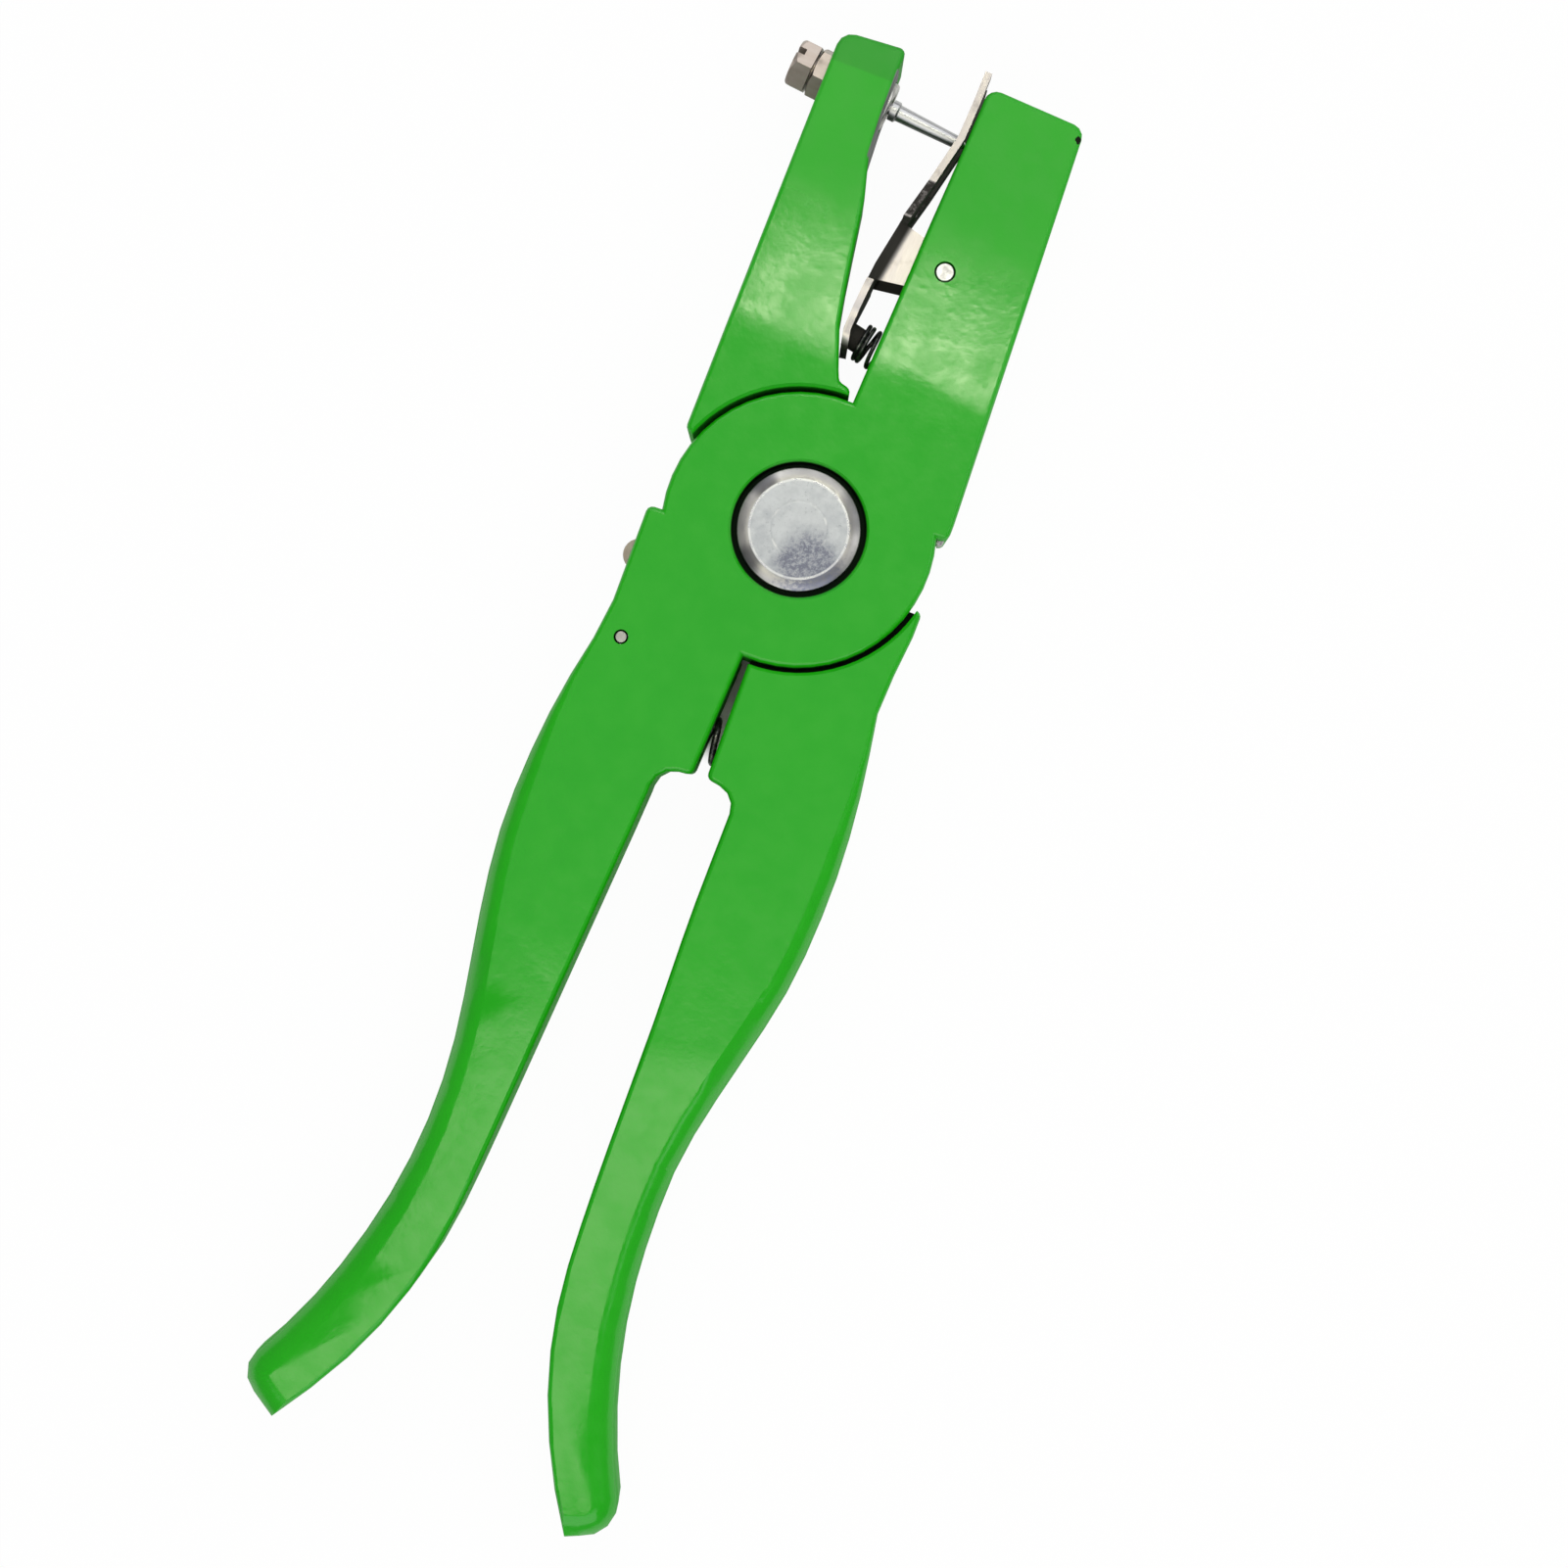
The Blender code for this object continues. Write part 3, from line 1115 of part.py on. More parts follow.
clear_scene()
make_front_lever()
rear_lever = make_rear_lever()
make_pivot()
make_main_spring()
make_clip_hardware()
make_heel_stop()
clip_plate = make_clip()
latch = make_latch()
pin_pieces = make_pin_group()

main_axis = axis_empty("main_pivot_axis", 0.0, 0.0)
clip_axis = axis_empty("clip_pivot_axis", AXLE_X, AXLE_Y)
latch_axis = axis_empty("latch_pivot_axis", LATCH_PIN_X, LATCH_PIN_Y)
carry(main_axis, rear_lever, *pin_pieces)
carry(clip_axis, clip_plate)
carry(latch_axis, latch)
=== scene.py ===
"""The looks of the ear tag applicator, a section for each piece, in the order that they are put together."""

from math import cos, pi, radians, sin

import bmesh
import bpy
from mathutils import Matrix, Vector


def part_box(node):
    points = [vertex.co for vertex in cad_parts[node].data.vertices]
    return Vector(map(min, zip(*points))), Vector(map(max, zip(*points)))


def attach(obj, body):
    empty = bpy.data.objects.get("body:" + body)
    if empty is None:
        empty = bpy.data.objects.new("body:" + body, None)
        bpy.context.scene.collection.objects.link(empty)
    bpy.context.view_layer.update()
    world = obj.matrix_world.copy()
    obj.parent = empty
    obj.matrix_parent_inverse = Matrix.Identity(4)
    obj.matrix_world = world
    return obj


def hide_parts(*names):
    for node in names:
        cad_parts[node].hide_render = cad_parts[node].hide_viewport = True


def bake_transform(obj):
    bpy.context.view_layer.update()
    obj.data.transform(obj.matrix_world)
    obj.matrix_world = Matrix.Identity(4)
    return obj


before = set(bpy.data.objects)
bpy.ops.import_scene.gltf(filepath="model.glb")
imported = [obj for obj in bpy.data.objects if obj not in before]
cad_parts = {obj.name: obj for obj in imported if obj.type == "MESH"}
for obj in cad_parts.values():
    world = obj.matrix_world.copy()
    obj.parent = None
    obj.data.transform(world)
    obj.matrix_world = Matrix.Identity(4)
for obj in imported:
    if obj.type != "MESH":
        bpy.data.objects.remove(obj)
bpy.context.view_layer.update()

# The front lever is one aluminium casting: the anvil jaw, the front half of the disc and the left handle.
# It is powder-coated green, and the coat rounds every cast edge and shows a fine orange peel.


class Shade:
    """A socket in a tree of nodes, with the sums that the finishes and the springs' trees are written in."""

    def __init__(self, tree, socket=None):
        self.tree = tree
        self.socket = socket

    def node(self, kind, settings=None, values=None, output=0):
        """Adds a node. Its settings are set first, then its sockets' values or links."""
        made = self.tree.nodes.new(kind)
        for name, value in (settings or {}).items():
            setattr(made, name, value)
        for name, value in (values or {}).items():
            if isinstance(value, Shade):
                self.tree.links.new(value.socket, made.inputs[name])
            else:
                made.inputs[name].default_value = value
        return Shade(self.tree, made.outputs[output])

    def math(self, operation, *others):
        return self.node("ShaderNodeMath", {"operation": operation}, dict(enumerate((self, *others))))

    def __add__(self, other):
        return self.math("ADD", other)

    def __sub__(self, other):
        return self.math("SUBTRACT", other)

    def __rsub__(self, other):
        return self.node("ShaderNodeMath", {"operation": "SUBTRACT"}, {0: other, 1: self})

    def __mul__(self, other):
        return self.math("MULTIPLY", other)

    def __truediv__(self, other):
        return self.math("DIVIDE", other)

    def step(self, low, high, start=0.0, end=1.0):
        """Goes smoothly from start to end as this value goes from low to high."""
        values = {0: self, 1: low, 2: high, 3: start, 4: end}
        return self.node("ShaderNodeMapRange", {"interpolation_type": "SMOOTHSTEP"}, values)

    def axis(self, letter):
        return self.node("ShaderNodeSeparateXYZ", None, {0: self}, "XYZ".index(letter))

    def noise(self, scale, detail=2.0, roughness=0.5):
        values = {"Vector": self, "Scale": scale, "Detail": detail, "Roughness": roughness}
        return self.node("ShaderNodeTexNoise", None, values)

    def stretched(self, scale):
        """This place with each axis scaled, so that a pattern on it runs along the least one."""
        return self.node("ShaderNodeVectorMath", {"operation": "MULTIPLY"}, {0: self, 1: scale})

    def distance(self, point):
        return self.node("ShaderNodeVectorMath", {"operation": "DISTANCE"}, {0: self, 1: point}, "Value")

    def along(self, direction):
        values = {0: self, 1: direction}
        return self.node("ShaderNodeVectorMath", {"operation": "DOT_PRODUCT"}, values, "Value")

    def radius(self, x=0.0, y=0.0):
        """The distance from a line along Z."""
        across = self.axis("X") - x
        up = self.axis("Y") - y
        return (across * across + up * up).math("SQRT")

    def colours(self, first, second):
        """Colour first where this mask is 0, and second where it is 1."""
        values = {0: self, 6: as_colour(first), 7: as_colour(second)}
        return self.node("ShaderNodeMix", {"data_type": "RGBA"}, values, 2)


def as_colour(value):
    return value if isinstance(value, Shade) else (*value, 1.0)


def finish(name, build):
    """A material. build gets its Object coordinates and gives the surface's values by their socket's name."""
    made = bpy.data.materials.new(name)
    made.use_nodes = True
    tree = made.node_tree
    surface = tree.nodes["Principled BSDF"]
    place = Shade(tree).node("ShaderNodeTexCoord", None, None, "Object")
    for socket, value in build(place).items():
        if isinstance(value, Shade):
            tree.links.new(value.socket, surface.inputs[socket])
        elif isinstance(value, tuple):
            surface.inputs[socket].default_value = as_colour(value)
        else:
            surface.inputs[socket].default_value = value
    return made


def facing_of(place):
    """The way that the surface faces, in the piece's own axes."""
    return place.node("ShaderNodeTexCoord", None, None, "Normal")


def relief(height, depth):
    """A bump of depth metres from a height of 0 to 1."""
    return height.node("ShaderNodeBump", None, {"Strength": 1.0, "Distance": depth, "Height": height})


SAME_CORNER = 1e-6
SAME_PLANE_DEGREES = 0.6


def smoothed_copy(node, edge_radius, edge_steps=2, hard_angle=38.0):
    """A merged copy of a CAD node with its hard edges rounded and its flats and curves shaded apart."""
    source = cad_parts[node].data
    corners = [v.co for v in source.vertices]
    mesh = bpy.data.meshes.new(node + "_surface")
    mesh.from_pydata(corners, [], [list(p.vertices) for p in source.polygons])
    made = bmesh.new()
    made.from_mesh(mesh)
    bmesh.ops.remove_doubles(made, verts=made.verts, dist=SAME_CORNER)
    bmesh.ops.dissolve_limit(
        made, angle_limit=radians(SAME_PLANE_DEGREES), verts=made.verts, edges=made.edges
    )
    made.to_mesh(mesh)
    made.free()
    piece = bpy.data.objects.new(node + "_surface", mesh)
    bpy.context.scene.collection.objects.link(piece)
    if edge_radius:
        bevel = piece.modifiers.new("edges", "BEVEL")
        bevel.limit_method = "ANGLE"
        bevel.angle_limit = radians(hard_angle)
        bevel.width = edge_radius
        bevel.segments = edge_steps
        bevel.use_clamp_overlap = True
        bevel.miter_outer = "MITER_ARC"
    return settled(piece, hard_angle)


def settled(piece, hard_angle):
    """Applies the piece's modifiers, then gives it smooth shading that leaves its flats flat."""
    piece.data = applied(piece)
    piece.data.shade_smooth()
    piece.data.set_sharp_from_angle(angle=radians(hard_angle))
    piece.modifiers.new("normals", "WEIGHTED_NORMAL").keep_sharp = True
    piece.data = applied(piece)
    return piece


def applied(piece):
    """The mesh that the piece's modifiers make of it. They are then taken off the piece."""
    graph = bpy.context.evaluated_depsgraph_get()
    mesh = bpy.data.meshes.new_from_object(piece.evaluated_get(graph))
    piece.modifiers.clear()
    return mesh


GREEN =(0.011, 0.402, 0.003)
DEEP_GREEN = (0.008, 0.385, 0.002)
# Green for the painted shade on the pin jaw's tip.
SHADED_GREEN = (0.006, 0.315, 0.002)
# Near black, for painted shade in the counterbore's groove and on the laps.
RECESS_SHADE_BLACK = (0.004, 0.008, 0.004)
CAST_METAL = (0.42, 0.43, 0.44)
COUNTERBORE_START = 0.01035
COUNTERBORE_END = 0.01155
FACE_HEIGHT = 0.022
LAP_HEIGHT = 0.011
LAP_REACH = 0.0004
WALL_DULLNESS = 0.45
GLOSS_END = 0.047
JAW_DULLNESS = 0.3
CAST_EDGE_RADIUS = 0.00022


def green_powder_coat(name, bare, shaded=None, bare_colour=None):
    """Glossy powder coat over cast aluminium. bare masks where the metal shows, in bare_colour or else in
    scuffed grey, shaded masks where painted shade darkens the coat, and near-black painted shade fills the
    counterbore's groove and the laps."""

    def build(place):
        clouds = place.noise(38.0, 2.0)
        mottle = place.noise(260.0, 3.0, 0.6)
        peel = place.noise(950.0, 2.0)
        metal = bare(place)
        coat = (clouds * 0.6 + mottle * 0.4).step(0.35, 0.65).colours(DEEP_GREEN, GREEN)
        # Painted shade on the coat where shaded masks it.
        if shaded:
            coat = shaded(place).colours(coat, SHADED_GREEN)
        scuffed = place.stretched((900.0, 160.0, 900.0)).noise(1.0, 3.0).step(0.3, 0.7, 0.75, 1.15)
        grey = bare_colour or scuffed.step(0.7, 1.2).colours((0.20, 0.20, 0.20), CAST_METAL)
        radius = place.radius()
        ring = radius.step(COUNTERBORE_START - 0.0002, COUNTERBORE_START)
        ring = ring * radius.step(COUNTERBORE_END - 0.0001, COUNTERBORE_END, 1.0, 0.0)
        height = place.axis("Z")
        level = facing_of(place).axis("Z").math("ABSOLUTE")
        # Painted shade: near black and without gloss in the counterbore's groove round the rivet head and on
        # the lap faces seen through the gap round the disc.
        recess_shade = ring * height.step(FACE_HEIGHT - 0.0006, FACE_HEIGHT - 0.0002, 1.0, 0.0)
        lap = (height - LAP_HEIGHT).math("ABSOLUTE").step(LAP_REACH, LAP_REACH + 0.0001, 1.0, 0.0)
        recess_shade = recess_shade.math("MAXIMUM", lap * level.step(0.6, 0.8))
        dull = level.step(0.2, 0.6, WALL_DULLNESS, 0.0)
        dull = dull.math("MAXIMUM", place.axis("Y").step(GLOSS_END, GLOSS_END + 0.014, 0.0, JAW_DULLNESS))
        return {
            "Base Color": recess_shade.colours(metal.colours(coat, grey), RECESS_SHADE_BLACK),
            "Metallic": (metal * 0.9).math("MAXIMUM", recess_shade),
            "Roughness": mottle.step(0.3, 0.7, 0.15, 0.24) + metal * 0.2 + dull,
            "Normal": relief(peel * 0.25 + mottle * 0.75, 0.00006),
        }

    return finish(name, build)


CHIP_PLACE = (0.0205, 0.0777, 0.0207)
CHIP_RADIUS = 0.0009
CHIP_DARK = (0.012, 0.016, 0.010)


def front_bare(place):
    """A small chip at the anvil jaw's outer top corner."""
    ragged = place.noise(2600.0, 2.0) * 0.0007
    return (place.distance(CHIP_PLACE) + ragged).step(CHIP_RADIUS, CHIP_RADIUS + 0.0002, 1.0, 0.0)


front_lever = smoothed_copy("front_lever", CAST_EDGE_RADIUS)
front_lever.data.materials.append(green_powder_coat("front_green", front_bare, None, CHIP_DARK))
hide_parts("front_lever")
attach(front_lever, "front_lever")

# The rear lever is the other casting: the pin jaw, the rear half of the disc and the right handle.
# A strip of the pin jaw's inner wall was machined after painting and shows bare metal.

BARE_WALL_START = 0.0630
BARE_WALL_END = 0.0785
BARE_WALL_INNER = -0.0125
JAW_TIP_CREASE = 0.0755


def rear_bare(place):
    """The machined strip of the pin jaw's inner wall, with ragged ends."""
    facing = facing_of(place).axis("X").step(0.55, 0.8)
    ragged = place.noise(700.0, 2.0) * 0.0012
    along = place.axis("Y") + ragged
    start = along.step(BARE_WALL_START, BARE_WALL_START + 0.0006)
    end = along.step(BARE_WALL_END, BARE_WALL_END + 0.0006, 1.0, 0.0)
    inner = place.axis("X").step(BARE_WALL_INNER - 0.0002, BARE_WALL_INNER)
    return facing * start * end * inner


def shaded_jaw_tip(place):
    """Painted shade on the pin jaw's tip beyond a faint crease, standing in for the tip's slope that faces
    away from the light.
    """
    wavy = place.axis("Y") + place.noise(300.0) * 0.0002
    return wavy.step(JAW_TIP_CREASE, JAW_TIP_CREASE + 0.0005, 0.0, 0.9)


rear_lever = smoothed_copy("rear_lever", CAST_EDGE_RADIUS)
rear_lever.data.materials.append(green_powder_coat("rear_green", rear_bare, shaded_jaw_tip))
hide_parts("rear_lever")
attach(rear_lever, "rear_lever")

# The thrust washer is a plain steel ring between the two discs, so that paint doesn't rub on paint.
# It only shows at the lap when the tool is taken apart.

STEEL = (0.52, 0.51, 0.50)
DARK_STEEL = (0.17, 0.16, 0.15)
PIVOT_LINE = (0.0, 0.0)
WASHER_EDGE_RADIUS = 0.0001


def turned_steel(name, centre, grooves, colour=STEEL):
    """Lathe-turned steel with fine rings round a line along Z through centre, and a little grime."""

    def build(place):
        rings = (place.radius(*centre) * grooves).math("SINE") * 0.5 + 0.5
        blotch = place.noise(420.0, 4.0, 0.6)
        grime = blotch.step(0.5, 0.75, 0.0, 0.6)
        return {
            "Base Color": grime.colours(colour, DARK_STEEL),
            "Metallic": 1.0,
            "Roughness": blotch.step(0.3, 0.7, 0.3, 0.45),
            "Normal": relief(rings * 0.5 + blotch * 0.5, 0.00001),
        }

    return finish(name, build)


thrust_washer = smoothed_copy("thrust_washer", WASHER_EDGE_RADIUS)
thrust_washer.data.materials.append(turned_steel("washer_steel", PIVOT_LINE, 9000.0))
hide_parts("thrust_washer")
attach(thrust_washer, "front_lever")

# The pivot is a large zinc-plated rivet that goes through both discs from the front.
# Its rear end is closed over a burr. The plating is mottled and has a faint ring from the die.

ZINC = (0.44, 0.462, 0.505)
# Bright zinc, for the lighter patches of the die ring and the painted highlight on the rim.
ZINC_BRIGHT = (0.70, 0.71, 0.73)
ZINC_STAIN = (0.18, 0.19, 0.25)
ZINC_BLOOM = (0.54, 0.562, 0.60)
ZINC_BEVEL = (0.50, 0.49, 0.475)
ZINC_SHADE = (0.13, 0.13, 0.14)
# Painted dark reflections on the bevel, each with its turn round the rivet, its half width in degrees and its
# strength.
BEVEL_PAINTED_REFLECTIONS = (
    (148.0, 9.0, 0.95),
    (38.0, 15.0, 0.7),
    (231.0, 9.0, 0.9),
    (-42.0, 13.0, 0.75),
    (95.0, 20.0, 0.4),
)
STAIN_CENTRE = (0.0036, -0.0052)
STAIN_RADIUS = 0.0052
DIE_RING_RADIUS = 0.0047
DIE_RING_WIDTH = 0.0003
RIM_RADIUS = 0.0083
RIVET_EDGE_RADIUS = 0.00018


def zinc_plate(name):
    """Mottled zinc with a stain, a ring from the die, a painted highlight on the rim and painted dark
    reflections on the bevel.
    """

    def build(place):
        specks = place.noise(1900.0, 3.0, 0.7)
        spots = place.noise(520.0, 4.0, 0.65)
        blooms = place.noise(230.0, 3.0, 0.6)
        radius = place.radius()
        ring = ((radius - DIE_RING_RADIUS) / DIE_RING_WIDTH).math("ABSOLUTE").step(0.0, 1.0, 1.0, 0.0)
        # The rim's bright ring is a painted highlight at the bevel's inner edge.
        rim_highlight = ((radius - RIM_RADIUS) / DIE_RING_WIDTH).math("ABSOLUTE").step(0.2, 1.0, 1.0, 0.0)
        ragged = place.radius(*STAIN_CENTRE) + blooms * 0.004
        stain = ragged.step(STAIN_RADIUS, STAIN_RADIUS + 0.004, 1.0, 0.0)
        stain = stain * specks.step(0.35, 0.6, 0.45, 1.0) + specks.step(0.58, 0.75, 0.0, 0.5)
        bevel = radius.step(RIM_RADIUS, RIM_RADIUS + 0.0003)
        # A socket of 0, which each painted reflection then raises.
        painted_reflections = blooms * 0.0
        for turn, half, strength in BEVEL_PAINTED_REFLECTIONS:
            towards = place.along((cos(radians(turn)), sin(radians(turn)), 0.0)) / radius + blooms * 0.02
            painted_streak = towards.step(cos(radians(half * 1.9)), cos(radians(half * 0.3)) + 0.01, 0.0, strength)
            painted_reflections = painted_reflections.math("MAXIMUM", painted_streak)
        face = spots.step(0.3, 0.7).colours(ZINC, ZINC_BLOOM)
        face = (ring * blooms.step(0.5, 0.62)).colours(face, ZINC_BRIGHT)
        plate = bevel.colours(face, painted_reflections.colours(ZINC_BEVEL, ZINC_SHADE))
        return {
            "Base Color": rim_highlight.colours((stain + ring * 0.12).colours(plate, ZINC_STAIN), ZINC_BRIGHT),
            "Metallic": 1.0,
            "Roughness": spots.step(0.3, 0.7, 0.3, 0.45) - rim_highlight * 0.1,
            "Normal": relief(spots * 0.5 + specks * 0.3 - ring * 0.5, 0.00002),
        }

    return finish(name, build)


zinc = zinc_plate("zinc_plate")
for node in ("pivot_rivet", "pivot_burr"):
    piece = smoothed_copy(node, RIVET_EDGE_RADIUS)
    piece.data.materials.append(zinc)
    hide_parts(node)
    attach(piece, "front_lever")

# The main spring is hard-drawn black wire with closed ends. It sits in a blind bore of each handle's root
# and pushes the handles apart, so that the tool opens once it is let go.

WIRE_SIDES = 12
POINTS_PER_TURN = 28
CLOSED_PITCH_IN_WIRE_RADII = 2.1
WIRE_HARD_ANGLE = 50.0


def spring_tree():
    """Geometry nodes for a coil along +Z with closed ends, from named inputs for its sizes."""
    tree = bpy.data.node_groups.new("coiled_wire", "GeometryNodeTree")
    tree.interface.new_socket("Geometry", in_out="OUTPUT", socket_type="NodeSocketGeometry")
    for name in ("Coil radius", "Wire radius", "Length", "Turns", "Closed at start", "Closed at end"):
        tree.interface.new_socket(name, in_out="INPUT", socket_type="NodeSocketFloat")
    tree.interface.new_socket("Wire", in_out="INPUT", socket_type="NodeSocketMaterial")
    group = tree.nodes.new("NodeGroupInput")
    given = {s.name: Shade(tree, s) for s in group.outputs if s.name}
    root = Shade(tree)
    turns = given["Turns"]
    closed_first = given["Closed at start"]
    closed_last = given["Closed at end"]
    wire = given["Wire radius"]
    line = root.node("GeometryNodeCurvePrimitiveLine", None, {"End": (0.0, 0.0, 1.0)})
    line = root.node("GeometryNodeResampleCurve", None, {"Curve": line, "Count": turns * POINTS_PER_TURN})
    along = root.node("GeometryNodeSplineParameter")
    opening = closed_first / turns
    closing = 1.0 - closed_last / turns
    first = root.node("ShaderNodeMapRange", None, {0: along, 1: 0.0, 2: opening}) * closed_first
    last = root.node("ShaderNodeMapRange", None, {0: along, 1: closing, 2: 1.0}) * closed_last
    open_part = root.node("ShaderNodeMapRange", None, {0: along, 1: opening, 2: closing})
    pitch = wire * CLOSED_PITCH_IN_WIRE_RADII
    open_length = given["Length"] - wire * 2.0 - (closed_first + closed_last) * pitch
    height = wire + (first + last) * pitch + open_part * open_length
    angle = along * turns * (2 * pi)
    across = angle.math("COSINE") * given["Coil radius"]
    up = angle.math("SINE") * given["Coil radius"]
    place = root.node("ShaderNodeCombineXYZ", None, {0: across, 1: up, 2: height})
    line = root.node("GeometryNodeSetPosition", None, {"Geometry": line, "Position": place})
    section = root.node("GeometryNodeCurvePrimitiveCircle", None, {"Resolution": WIRE_SIDES, "Radius": wire})
    coil = root.node(
        "GeometryNodeCurveToMesh", None, {"Curve": line, "Profile Curve": section, "Fill Caps": True}
    )
    coil = root.node("GeometryNodeRealizeInstances", None, {0: coil})
    coil = root.node("GeometryNodeSetMaterial", None, {"Geometry": coil, "Material": given["Wire"]})
    tree.links.new(coil.socket, tree.nodes.new("NodeGroupOutput").inputs[0])
    return tree


coiled_wire = spring_tree()


def spring(name, node, sizes, wire, matrix):
    """A coil made by the tree, put in its place in the mesh, that stands for the CAD node's coil."""
    piece = bpy.data.objects.new(name, bpy.data.meshes.new(name))
    bpy.context.scene.collection.objects.link(piece)
    modifier = piece.modifiers.new("coil", "NODES")
    modifier.node_group = coiled_wire
    sockets = {s.name: s.identifier for s in coiled_wire.interface.items_tree if s.in_out == "INPUT"}
    for title, value in {**sizes, "Wire": wire}.items():
        modifier[sockets[title]] = value
    mesh = applied(piece)
    made = bmesh.new()
    made.from_mesh(mesh)
    bmesh.ops.transform(made, matrix=matrix, verts=made.verts)
    bmesh.ops.recalc_face_normals(made, faces=made.faces)
    made.to_mesh(mesh)
    made.free()
    mesh.shade_smooth()
    mesh.set_sharp_from_angle(angle=radians(WIRE_HARD_ANGLE))
    piece.data = mesh
    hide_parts(node)
    return piece


def along_x(x, y, z, tilt=0.0):
    """Lays a coil that was made along +Z along +X from a point, turned down by tilt degrees."""
    lying = Matrix.Rotation(radians(-tilt), 4, "Z") @ Matrix.Rotation(pi / 2, 4, "Y")
    return Matrix.Translation((x, y, z)) @ lying


def spring_steel(name):
    """Oil-blacked drawn wire: dark grey, with worn brighter patches and fine scale."""

    def build(place):
        worn = place.noise(900.0, 3.0, 0.6)
        fine = place.noise(4500.0, 2.0)
        return {
            "Base Color": worn.step(0.45, 0.7).colours((0.06, 0.062, 0.066), (0.30, 0.29, 0.28)),
            "Metallic": 0.85,
            "Roughness": fine.step(0.3, 0.7, 0.26, 0.44),
            "Normal": relief(fine, 0.000012),
        }

    return finish(name, build)


black_wire = spring_steel("black_spring_wire")

MAIN_SPRING = {
    "Coil radius": 0.00365,
    "Wire radius": 0.0006,
    "Length": 0.0267,
    "Turns": 9.0,
    "Closed at start": 1.0,
    "Closed at end": 1.0,
}
MAIN_SPRING_PLACE = (-0.0139, -0.03805, 0.011)

main_spring = spring("main_spring_coil", "main_spring", MAIN_SPRING, black_wire, along_x(*MAIN_SPRING_PLACE))
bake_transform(main_spring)

# The clip is pressed from one nickel-plated sheet, with a fork that holds the tag's socket half,
# two side ears that the axle passes through, and a wide tail that a thumb presses.

NICKEL = (0.55, 0.51, 0.505)
NICKEL_LIGHT = (0.65, 0.61, 0.605)
NICKEL_SHADE = (0.30, 0.26, 0.23)
# Dark for painted shade and dirt, on the clip and the hexagon parts.
SHADE_AND_DIRT_DARK = (0.022, 0.020, 0.016)


def nickel_plate(name, stretch, dull, bright, roughness, darkened=None):
    """Warm nickel plate with rolling marks along the least of stretch. darkened masks painted shade and dirt.
    """

    def build(place):
        lines = place.stretched(stretch).noise(1.0, 3.0, 0.5)
        patches = place.noise(330.0, 4.0, 0.65)
        grime = patches.step(0.55, 0.8, 0.0, 0.5)
        plate = grime.colours(lines.step(0.25, 0.75).colours(dull, bright), NICKEL_SHADE)
        values = {
            "Base Color": plate,
            "Metallic": 1.0,
            "Roughness": lines.step(0.3, 0.7, roughness, roughness + 0.1) + grime * 0.15,
            "Normal": relief(lines * 0.4 + patches * 0.6, 0.00001),
        }
        # Painted shade and dirt, where darkened masks them.
        if darkened:
            shade_and_dirt = darkened(place)
            values["Base Color"] = shade_and_dirt.colours(plate, SHADE_AND_DIRT_DARK)
            values["Metallic"] = 1.0 - shade_and_dirt * 0.5
            values["Roughness"] = values["Roughness"] + shade_and_dirt * 0.5
        return values

    return finish(name, build)


BEND_LOW = Vector((-0.0045, 0.0437, 0.0))
BEND_HIGH = Vector((-0.0025, 0.0555, 0.0))
BEND_SHADE_WIDTH = 0.0014
FORK_DEPTH = 0.0150
WAIST_START = 0.0556
WAIST_END = 0.0623
PRONG_DULLNESS = 0.14
CLIP_SPRING_START = (-0.0024, 0.0345, 0.011)
CLIP_EDGE_RADIUS = 0.00016
CLIP_ROUGHNESS = 0.3


def clip_painted_shade(place):
    """Painted shade on faces turned to the jaw or down the tool, in the ears' bends, on the speckled waist,
    on the rear prong's front and along the rounded edges; also darker at the spring's seat and on the prongs.
    """
    faces = facing_of(place)
    front = faces.axis("Z").step(0.4, 0.7)
    # Painted shade on the faces turned towards the jaw and down the tool.
    jaw_side = faces.axis("X").step(0.3, 0.6, 0.0, 0.9)
    underside_shade = faces.axis("Y").step(-0.7, -0.4, 0.95, 0.0)
    run = (BEND_HIGH - BEND_LOW).normalized()
    inwards = Vector((run.y, -run.x, 0.0))
    depth = place.along(tuple(inwards)) - BEND_LOW.dot(inwards)
    y = place.axis("Y")
    ear = y.step(BEND_LOW.y, BEND_LOW.y + 0.0004) * y.step(BEND_HIGH.y, BEND_HIGH.y + 0.0004, 1.0, 0.0)
    # Painted shade in the ears' bends and, speckled, on the narrow waist.
    bend = ear * depth.step(BEND_SHADE_WIDTH, BEND_SHADE_WIDTH + 0.0012, 0.98, 0.0)
    speckled = place.noise(1500.0, 3.0, 0.7).step(0.45, 0.75, 0.97, 0.6)
    waist = y.step(WAIST_START, WAIST_START + 0.0006) * y.step(WAIST_END, WAIST_END + 0.0006, 1.0, 0.0)
    waist = waist * speckled
    # Painted shadow on the rear prong's front, where the jaw hides it.
    fork = front * place.axis("Z").step(FORK_DEPTH, FORK_DEPTH + 0.001, 0.9, 0.0)
    seat = place.distance(CLIP_SPRING_START).step(0.0036, 0.0046, 0.95, 0.0)
    # Painted shade along the rounded edges.
    edge = faces.axis("Z").step(0.2, 0.4) * faces.axis("Z").step(0.8, 0.97, 0.6, 0.0)
    prongs = y.step(WAIST_END, WAIST_END + 0.001, 0.0, PRONG_DULLNESS)
    marks = (front * (bend + waist + prongs)).math("MAXIMUM", jaw_side).math("MAXIMUM", underside_shade)
    return marks.math("MAXIMUM", fork).math("MAXIMUM", seat).math("MAXIMUM", edge)


